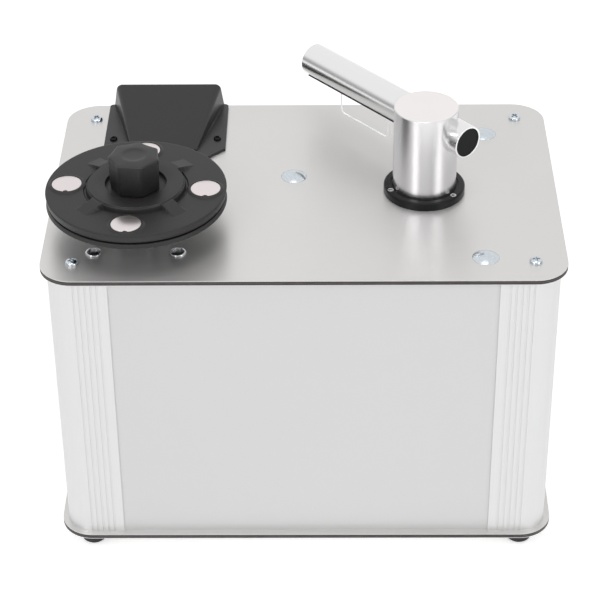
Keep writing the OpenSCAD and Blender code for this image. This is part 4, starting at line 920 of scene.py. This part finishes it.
@dataclass
class Fasteners:
    """The screws that show: in the plates' corners, round the drive, the post and the hood."""

    corner_inset: float = 23.6
    foot_web: float = 8.0
    gearbox_pitch: float = 62.0
    flange_circle: float = 27.6
    flange_turns: tuple[float, ...] = (80.5, 200.5, 320.5)
    flange_sink: float = 2.2

    def build(self) -> None:
        """Make every set of screws and put it in place of its CAD node."""
        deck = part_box("top_plate_skins")[1] / MM
        self.add_case_screws(deck)
        self.add_socket_screws(deck.z)
        self.add_hood_screws()

    def add_case_screws(self, deck: Vector) -> None:
        """Make the screws in the corners of the plates.

        Args:
            deck: The far upper corner of the top plate.
        """
        across, along = deck.x - self.corner_inset, deck.y - self.corner_inset
        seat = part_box("rubber_feet")[1].z / MM - self.foot_web
        # Zinc flashes blue-white where the dome mirrors a lamp.
        finish = Worked("bright_zinc_plated_screw", "#E8EEF2", "#B0BAC2", 0.2,
                        Grain.NONE, 1.4, bump=0.1).build()
        form = ScrewForm(head_r=4.8, head_h=3.4, shank_r=1.9, shank_l=16.0,
                         recess=cross_radius(half_width=0.75, reach=2.7), recess_depth=1.9)
        screws = CopySet(
            "case_screw_set", form.mesh("case_screw_form"),
            [(x, y, z) for z in (deck.z, seat) for x in (-across, across)
             for y in (-along, along)], [False] * 4 + [True] * 4, 20.0, 37.0)
        add_piece("case_screw_set", screws.mesh(finish), finish, "case",
                  "case_screws")

    def add_socket_screws(self, deck: float) -> None:
        """Make the socket screws of the gearbox and of the post's flange.

        Args:
            deck: Height of the top plate's upper face.
        """
        # Stainless steel is bright on the rim and dark in the socket.
        finish = Worked("turned_stainless_steel", "#DADADC", "#A6A6AA", 0.2,
                        Grain.NONE, 1.2, bump=0.08).build()
        half = self.gearbox_pitch / 2
        big = ScrewForm(head_r=6.2, head_h=3.0, shank_r=2.4, shank_l=25.0,
                        recess=flats_radius(corner=3.9, sides=6), recess_depth=2.1)
        gearbox = CopySet(
            "gearbox_screws", big.mesh("gearbox_screw_form"),
            [(SPINDLE[0] + x, SPINDLE[1] + y, deck)
             for x in (-half, half) for y in (-half, half)], [], 8.0, 23.0)
        small = ScrewForm(head_r=2.4, head_h=2.2, shank_r=1.5, shank_l=8.5,
                          recess=flats_radius(corner=1.5, sides=6), recess_depth=1.7,
                          flat=True)
        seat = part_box("arm_flange")[1].z / MM - self.flange_sink
        flange = CopySet("flange_screws", small.mesh("flange_screw_form"),
                         spots_round(POST, self.flange_circle, self.flange_turns, seat),
                         [], 5.0, 19.0)
        add_piece("socket_screw_set",
                  joined("socket_screw_set", [gearbox.mesh(finish), flange.mesh(finish)]),
                  finish, "case", "socket_screws")

    def add_hood_screws(self) -> None:
        """Make the two screws that hold the hood."""
        low, high = (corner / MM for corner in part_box("hood_screws"))
        form = ScrewForm(head_r=3.0, head_h=2.2, shank_r=1.5, shank_l=12.0,
                         recess=cross_radius(half_width=0.5, reach=1.7), recess_depth=1.2)
        # Blackened steel stays dark, with one small glint on each head.
        finish = Worked("blackened_steel_screw", "#2C2C2C", "#1C1C1C", 0.3,
                        Grain.NONE, 1.0).build()
        screws = CopySet(
            "hood_screw_set", form.mesh("hood_screw_form"),
            [(x, (low.y + high.y) / 2, high.z - form.head_h)
             for x in (low.x + form.head_r, high.x - form.head_r)], [], 12.0, 31.0)
        add_piece("hood_screw_set", screws.mesh(finish), finish, "case",
                  "hood_screws")


def spots_round(centre: Point, circle: float, turns: tuple[float, ...],
                height: float) -> list[Point]:
    """Place points on a circle.

    Args:
        centre: The circle's middle.
        circle: Its radius.
        turns: The points' directions, in degrees.
        height: Height of the points.

    Returns:
        The points.
    """
    return [(centre[0] + circle * cos(radians(turn)),
             centre[1] + circle * sin(radians(turn)), height) for turn in turns]


@dataclass
class Clamp:
    """The screw-down clamp: its disc with ring, ramps and magnets, and the knob.

    Heights are over the clamp's underside. A section's pairs are radius and height, save
    that the magnet's start with how far its edge lies inside magnet_r. The pairs of
    ring_steps are a step's place outside ring_r and its drop, and those of knob_dish are
    radius and depth.
    """

    turn_deg: float = -4.0
    disc_r: float = 66.7
    disc_t: float = 6.4
    ring_r: float = 35.5
    ring_h: float = 4.0
    ring_steps: Section = ((-0.6, 1.4), (0.6, 3.6), (2.6, -1.0))
    step_w: float = 0.8
    ramp_turn_deg: float = 47.0
    ramp_half_w: float = 6.0
    ramp_side: float = 0.6
    ramp_foot: float = 51.0
    ramp_head: float = 37.5
    ramp_h: float = 3.4
    pocket_section: Section = (
        (10.05, 2.6), (10.05, 7.4), (22.6, 7.4), (22.6, 10.0), (22.72, 10.28), (23.0, 10.4),
        (32.5, 10.4))
    rim_section: Section = (
        (65.9, 6.4), (66.35, 6.28), (66.6, 6.02), (66.7, 5.6), (65.9, 0.3), (65.6, 0.0),
        (64.0, 0.0), (64.0, 1.0), (18.5, 1.0), (18.5, -0.1), (15.5, -0.1), (15.5, 2.6))
    collar_points: int = 96
    magnet_points: int = 144
    knob_side_points: int = 24
    fine_step: float = 0.2
    fine_rings: int = 27
    coarse_step: float = 0.6
    segments: int = 480
    magnet_r: float = 11.0
    magnet_section: Section = (
        (0.3, 0.0), (0.0, 0.3), (0.0, 2.65), (0.1, 2.9), (0.35, 3.0))
    magnet_circle: float = 51.5
    magnet_notch: float = 2.0
    notch_half_turn: float = 0.2
    collar_section: Section = (
        (11.15, -0.6), (11.15, 0.95), (11.3, 1.1), (12.2, 1.1), (12.45, 1.0),
        (13.55, 0.15), (13.95, 0.0), (13.95, -0.6))
    knob_r: float = 18.9
    knob_flare: float = 0.045
    knob_flats: int = 7
    knob_hollow: float = 0.4
    knob_soften: float = 0.45
    knob_turn_deg: float = -70.8
    knob_low: float = 7.7
    knob_top: float = 33.9
    knob_neck: Section = (
        (2.0, 24.1), (7.1, 24.1), (7.1, 0.8), (10.0, 0.8), (10.0, 7.7))
    knob_dish: Section = (
        (12.0, 0.06), (10.4, 0.0), (9.2, 0.05), (8.4, 0.22), (7.6, 0.5), (5.0, 0.7),
        (1.5, 0.8))

    def build(self) -> None:
        """Make the disc, the magnets and the knob in place of their CAD nodes."""
        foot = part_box("clamp_knob")[1].z / MM - self.knob_top
        seat = (SPINDLE[0], SPINDLE[1], foot)
        # Turned acetal is a dull black whose fine rings spread the light in a soft fan.
        finish = Worked(
            "turned_black_acetal", "#252323", "#1F1D1D", 0.46, Grain.AROUND, 0.9, bump=0.08,
            metallic=0.0, centre_mm=SPINDLE, specular=0.45).build()
        disc = skin("clamp_face", self.disc_rings(), self.segments, closed=True,
                    place_mm=seat)
        relief = joined("clamp_relief", [disc, self.collars(foot).mesh(finish)])
        add_piece("clamp_relief", relief, finish, "clamp_group",
                  "clamp_disc")
        # Nickel plate over a pressed blank is pale, warm and only half bright.
        nickel = Worked("nickel_plated_magnet", "#ECE4E4", "#DAD2D2", 0.3, Grain.NONE,
                        0.8, bump=0.08).build()
        add_piece("clamp_magnet_set", self.magnets().mesh(nickel), nickel, "clamp_group",
                  "clamp_magnets")
        # Moulded nylon has a soft sheen that shows how flat each side is.
        nylon = Moulded("moulded_black_nylon", "#1E1E1E", "#272727", 0.42, 0.8, 0.1)
        knob = skin("knob_form", self.knob_rings(), self.knob_side_points * self.knob_flats,
                    place_mm=seat)
        add_piece("knob_form", knob, nylon.build(), "knob_group",
                  "clamp_knob")

    def relief(self, radius: float, angle: float) -> float:
        """Height of the disc's top face.

        Args:
            radius: Distance from the clamp's axis.
            angle: Direction from it.

        Returns:
            The height over the clamp's underside.
        """
        ring = self.ring_h
        for out, drop in self.ring_steps:
            start = self.ring_r + out
            ring -= drop * smooth_step(start, start + self.step_w, radius)
        quarter = pi / 2
        own = angle - radians(self.turn_deg + self.ramp_turn_deg)
        off_ramp = (own + quarter / 2) % quarter - quarter / 2
        out = radius * cos(off_ramp)
        side = abs(radius * sin(off_ramp))
        share = (self.ramp_foot - out) / (self.ramp_foot - self.ramp_head)
        ramp = self.ramp_h * min(max(share, 0.0), 1.0)
        ramp *= 1 - smooth_step(self.ramp_half_w - self.ramp_side,
                                self.ramp_half_w + self.ramp_side, side)
        return self.disc_t + (ring if ramp < ring or ramp <= 0.0 else ramp)

    def disc_rings(self) -> list[Ring]:
        """Lay out the disc's section, from the bore over the top and back underneath.

        Returns:
            The rings in order.
        """
        steps = [self.ring_r - 0.8 + self.fine_step * i for i in range(self.fine_rings)]
        while steps[-1] < self.disc_r - 1.6:
            steps.append(steps[-1] + self.coarse_step)
        return ([Ring(*pair) for pair in self.pocket_section]
                + [Ring(radius, self.relief) for radius in steps]
                + [Ring(*pair) for pair in self.rim_section])

    def magnets(self) -> CopySet:
        """Lay out the four magnets on their pads.

        Returns:
            The copies to make.
        """
        def outline(inset: float) -> Plan:
            """Edge of a magnet, with the notch that shows which way it was pressed."""
            def radius(angle: float) -> float:
                """Radius at an angle."""
                off = (angle + 1.5 * pi) % (2 * pi) - pi
                notch = max(1 - (off / self.notch_half_turn) ** 2, 0.0)
                return self.magnet_r - self.magnet_notch * notch - inset
            return radius

        form = skin("magnet_form", [Ring(outline(inset), height)
                                    for inset, height in self.magnet_section],
                    self.magnet_points)
        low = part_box("clamp_magnets")[0].z / MM
        return CopySet("clamp_magnet_set", form, self.magnet_spots(low))

    def magnet_spots(self, height: float) -> list[Point]:
        """Give the magnets' places at a height."""
        turns = tuple(self.turn_deg + 90 * step for step in range(4))
        return spots_round(SPINDLE, self.magnet_circle, turns, height)

    def collars(self, foot: float) -> CopySet:
        """Lay out the low collars that the magnets sit in.

        Args:
            foot: Height of the clamp's underside.

        Returns:
            The copies to make.
        """
        form = skin("collar_form", [Ring(*pair) for pair in self.collar_section],
                    self.collar_points, closed=True)
        return CopySet("clamp_collars", form, self.magnet_spots(foot + self.disc_t))

    def knob_rings(self) -> list[Ring]:
        """Lay out the knob, from the bore's end down, round the neck and up its sides.

        Returns:
            The rings in order.
        """
        plan = flats_radius(self.knob_r, self.knob_flats, self.knob_hollow,
                            self.knob_turn_deg, self.knob_soften)

        def side(height: float, amount: float) -> Ring:
            """The flared plan at a height, drawn in by an amount."""
            share = (height - self.knob_low) / (self.knob_top - self.knob_low)
            flare = 1 + self.knob_flare * share
            return Ring(lambda angle: plan(angle) * flare - amount, height)

        shoulder = self.knob_top - 1.9
        rings = [Ring(*pair) for pair in self.knob_neck]
        rings += [side(self.knob_low, 0.5), side(self.knob_low + 0.5, 0.0),
                  side(shoulder - 8.0, 0.0)]
        for step in range(7):
            swing = pi / 2 * step / 6
            rings.append(side(shoulder + 1.4 * sin(swing), 1.6 * (1 - cos(swing))))
        rings.append(side(self.knob_top - 0.32, 3.2))
        return rings + [Ring(radius, self.knob_top - drop) for radius, drop in self.knob_dish]


class PlatterDrive(Dressing):
    """The platter and the geared motor below it."""

    finishes = (
        # Turned acetal is a dull black with a faint fan of light.
        (ON_SPINDLE("turned_black_acetal_platter", "#2A2828", "#242222", 0.5, pitch_mm=0.9,
                    bump=0.08, metallic=0.0), "platter"),
        # Soft rubber is the dullest black on the machine.
        (Moulded("soft_black_rubber", "#161616", "#222222", 0.75, 0.6, 0.2, sheen=0.2),
         "platter_mat", "clamp_seal"),
        # A turned hub shows bright upright bands.
        (ON_SPINDLE("turned_aluminium_hub", "#D0D0D2", "#B8B8BA", 0.3, pitch_mm=0.7),
         "platter_hub", "knob_retainer", "spindle"),
        # Brass is warm and bright.
        (ON_SPINDLE("turned_brass", "#D9B56A", "#C39A4E", 0.25, pitch_mm=0.7), "knob_insert"),
        # Pressed powder is brown and pitted.
        (Worked("sintered_bronze", "#B98A55", "#8F6538", 0.45, Grain.NONE, 0.7,
                bump=0.2), "spindle_bearings"),
        # A casting is grey, dull and slightly lumpy.
        (Worked("die_cast_zinc_alloy", "#A4A6A8", "#8A8C8F", 0.5, Grain.NONE, 1.5,
                bump=0.3), "gearbox_housing", "gearbox_cover"),
        # A drawn can has faint lines along its depth.
        (Worked("drawn_steel_can", "#B4B6B9", "#94969A", 0.35, Grain.UPRIGHT),
         "motor_can", "vacuum_motor"),
        # Wound wire glows red-brown in coarse strands.
        (Worked("enamelled_copper_winding", "#B8733F", "#7E431F", 0.35,
                Grain.UPRIGHT, 0.9, bump=0.4), "motor_armature", "vacuum_rotor"),
        # Cut teeth flash along their length.
        (Worked("hobbed_steel_pinion", "#C4C6C8", "#A2A4A8", 0.3, Grain.UPRIGHT,
                0.5), "motor_pinion"),
        # Natural acetal is a warm, waxy white.
        (Moulded("moulded_natural_acetal", "#E8E2D2", "#D9D2BF", 0.4, 0.9, 0.08),
         "output_gear"))


class SuctionArm(Dressing):
    """The post, its flange and bearing, and the tube with its felts and guard."""

    finishes = (
        # Fine turning draws the post's reflections into smooth upright bands.
        # Its upward top face is painted a lighter colour, as light falling on it.
        (ON_POST("turned_satin_aluminium", "#E6E5E6", "#DCDBDC", 0.25, pitch_mm=0.5,
                 bump=0.01, drawn_out=0.5, faced="#F0ECEB", spread=0.4), "arm_post"),
        # A drawn tube has long clean bands, bright above and dark below.
        (Worked("drawn_satin_aluminium_tube", "#EDEDED", "#E4E4E4", 0.2,
                Grain.ALONG, 0.5, 80.0, 0.01, centre_mm=POST,
                turn_deg=ARM_TURN_DEG, drawn_out=0.3, spread=0.4), "suction_tube"),
        # Black anodising hides the metal and leaves a weak satin gloss.
        (ON_POST("black_anodised_turned_flange", "#131314", "#0E0E0F", 0.32, pitch_mm=0.8,
                 bump=0.06, metallic=0.0, specular=0.22), "arm_flange"),
        # A bored bearing is plain grey metal with fine rings.
        (ON_POST("bored_aluminium_bearing", "#B6B8BA", "#9A9C9F", 0.35, pitch_mm=0.8),
         "arm_bearing", "bearing_cap", "swing_sleeve"),
        # Spring wire is smooth and grey with bright lines.
        (Worked("drawn_spring_steel", "#B2B4B8", "#8F9196", 0.3, Grain.NONE, 0.8),
         "lift_spring"),
        # Soft plastic caps look like deep, flat black holes.
        (Moulded("moulded_black_polythene", "#0C0C0C", "#131313", 0.65, 0.8, 0.06,
                 specular=0.25), "tube_caps"),
        # Velvet is black with a pale bloom at a low angle.
        (Moulded("black_velvet_pile", "#0F0F0F", "#1E1E1E", 0.9, 0.5, 0.5, sheen=0.6),
         "felt_strips"),
        # Only the edges of the clear guard show, as thin white lines with a painted glow.
        (ClearSheet("clear_acrylic_sheet", ARM_TURN_DEG), "clear_guard"))


class FluidAndAir(Dressing):
    """The tank, the vacuum unit, the hose and the exhaust hood."""

    finishes = (
        # Blown polythene is a milky, waxy white.
        (Moulded("blow_moulded_polythene", "#E2E2DA", "#D2D2C8", 0.42, 1.4, 0.1), "tank_body"),
        # The lid's grey is a little duller.
        (Moulded("moulded_grey_polythene", "#C2C2BC", "#B0B0AA", 0.45, 1.0, 0.12), "tank_lid"),
        # Filled nylon is charcoal with a silky skin.
        (Moulded("moulded_black_nylon_fitting", "#262624", "#343432", 0.5, 0.8, 0.15),
         "tank_fittings", "fan_housing"),
        # Red rubber marks the drain, dull and dark.
        (Moulded("moulded_red_rubber", "#8A2A24", "#74201B", 0.55, 0.8, 0.2), "drain_stopper"),
        # Powder coat has a slight orange peel.
        (Moulded("powder_coated_steel", "#9EA2A6", "#8E9296", 0.5, 1.1, 0.25), "vacuum_shelf"),
        # Zinc crystals give the duct broad grey patches.
        (Worked("rolled_galvanised_sheet", "#A9ACAF", "#83878B", 0.4,
                Grain.UPRIGHT, 4.0), "exhaust_duct"),
        # An extruded hose has an even half gloss.
        (Moulded("extruded_black_hose", "#2C2E30", "#3A3C3E", 0.5, 0.9, 0.15), "air_hose"),
        # Moulded ABS is a satin black that lifts to dark grey under the lamps.
        (Moulded("moulded_black_abs_hood", "#161416", "#1C1A1B", 0.34, 0.9, 0.12),
         "exhaust_hood"))


class Electrics(Dressing):
    """The switches, the mains inlet, the board and the wiring."""

    finishes = (
        # Matt housings frame the shinier rockers.
        (Moulded("moulded_black_polyamide", "#1D1D1D", "#292929", 0.4, 0.8, 0.12),
         "switch_bodies", "mains_inlet"),
        # Polished rockers catch one clear highlight.
        (Moulded("polished_black_polycarbonate", "#262626", "#303030", 0.22, 1.2, 0.03,
                 coat=0.3), "vacuum_rocker", "platter_rocker", "fuse_drawer"),
        # Solder resist is a glossy green film.
        (Moulded("green_solder_resist_board", "#2F6B45", "#27593A", 0.35, 1.6, 0.2,
                 coat=0.2), "control_board"),
        # Wire insulation is smooth and faintly blue-black.
        (Moulded("extruded_black_insulation", "#1F2226", "#2B2F34", 0.45, 1.0, 0.05),
         "wire_loom"))


def main() -> None:
    """Load the frame and build each part of the scene."""
    logging.basicConfig(level=logging.INFO, format="%(message)s")
    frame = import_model()
    for part in (Studio(), Case(frame), Fasteners(), Clamp(), PlatterDrive(frame),
                 SuctionArm(frame), FluidAndAir(frame), Electrics(frame)):
        LOG.info("building %s", type(part).__name__)
        part.build()


if __name__ == "__main__":
    main()
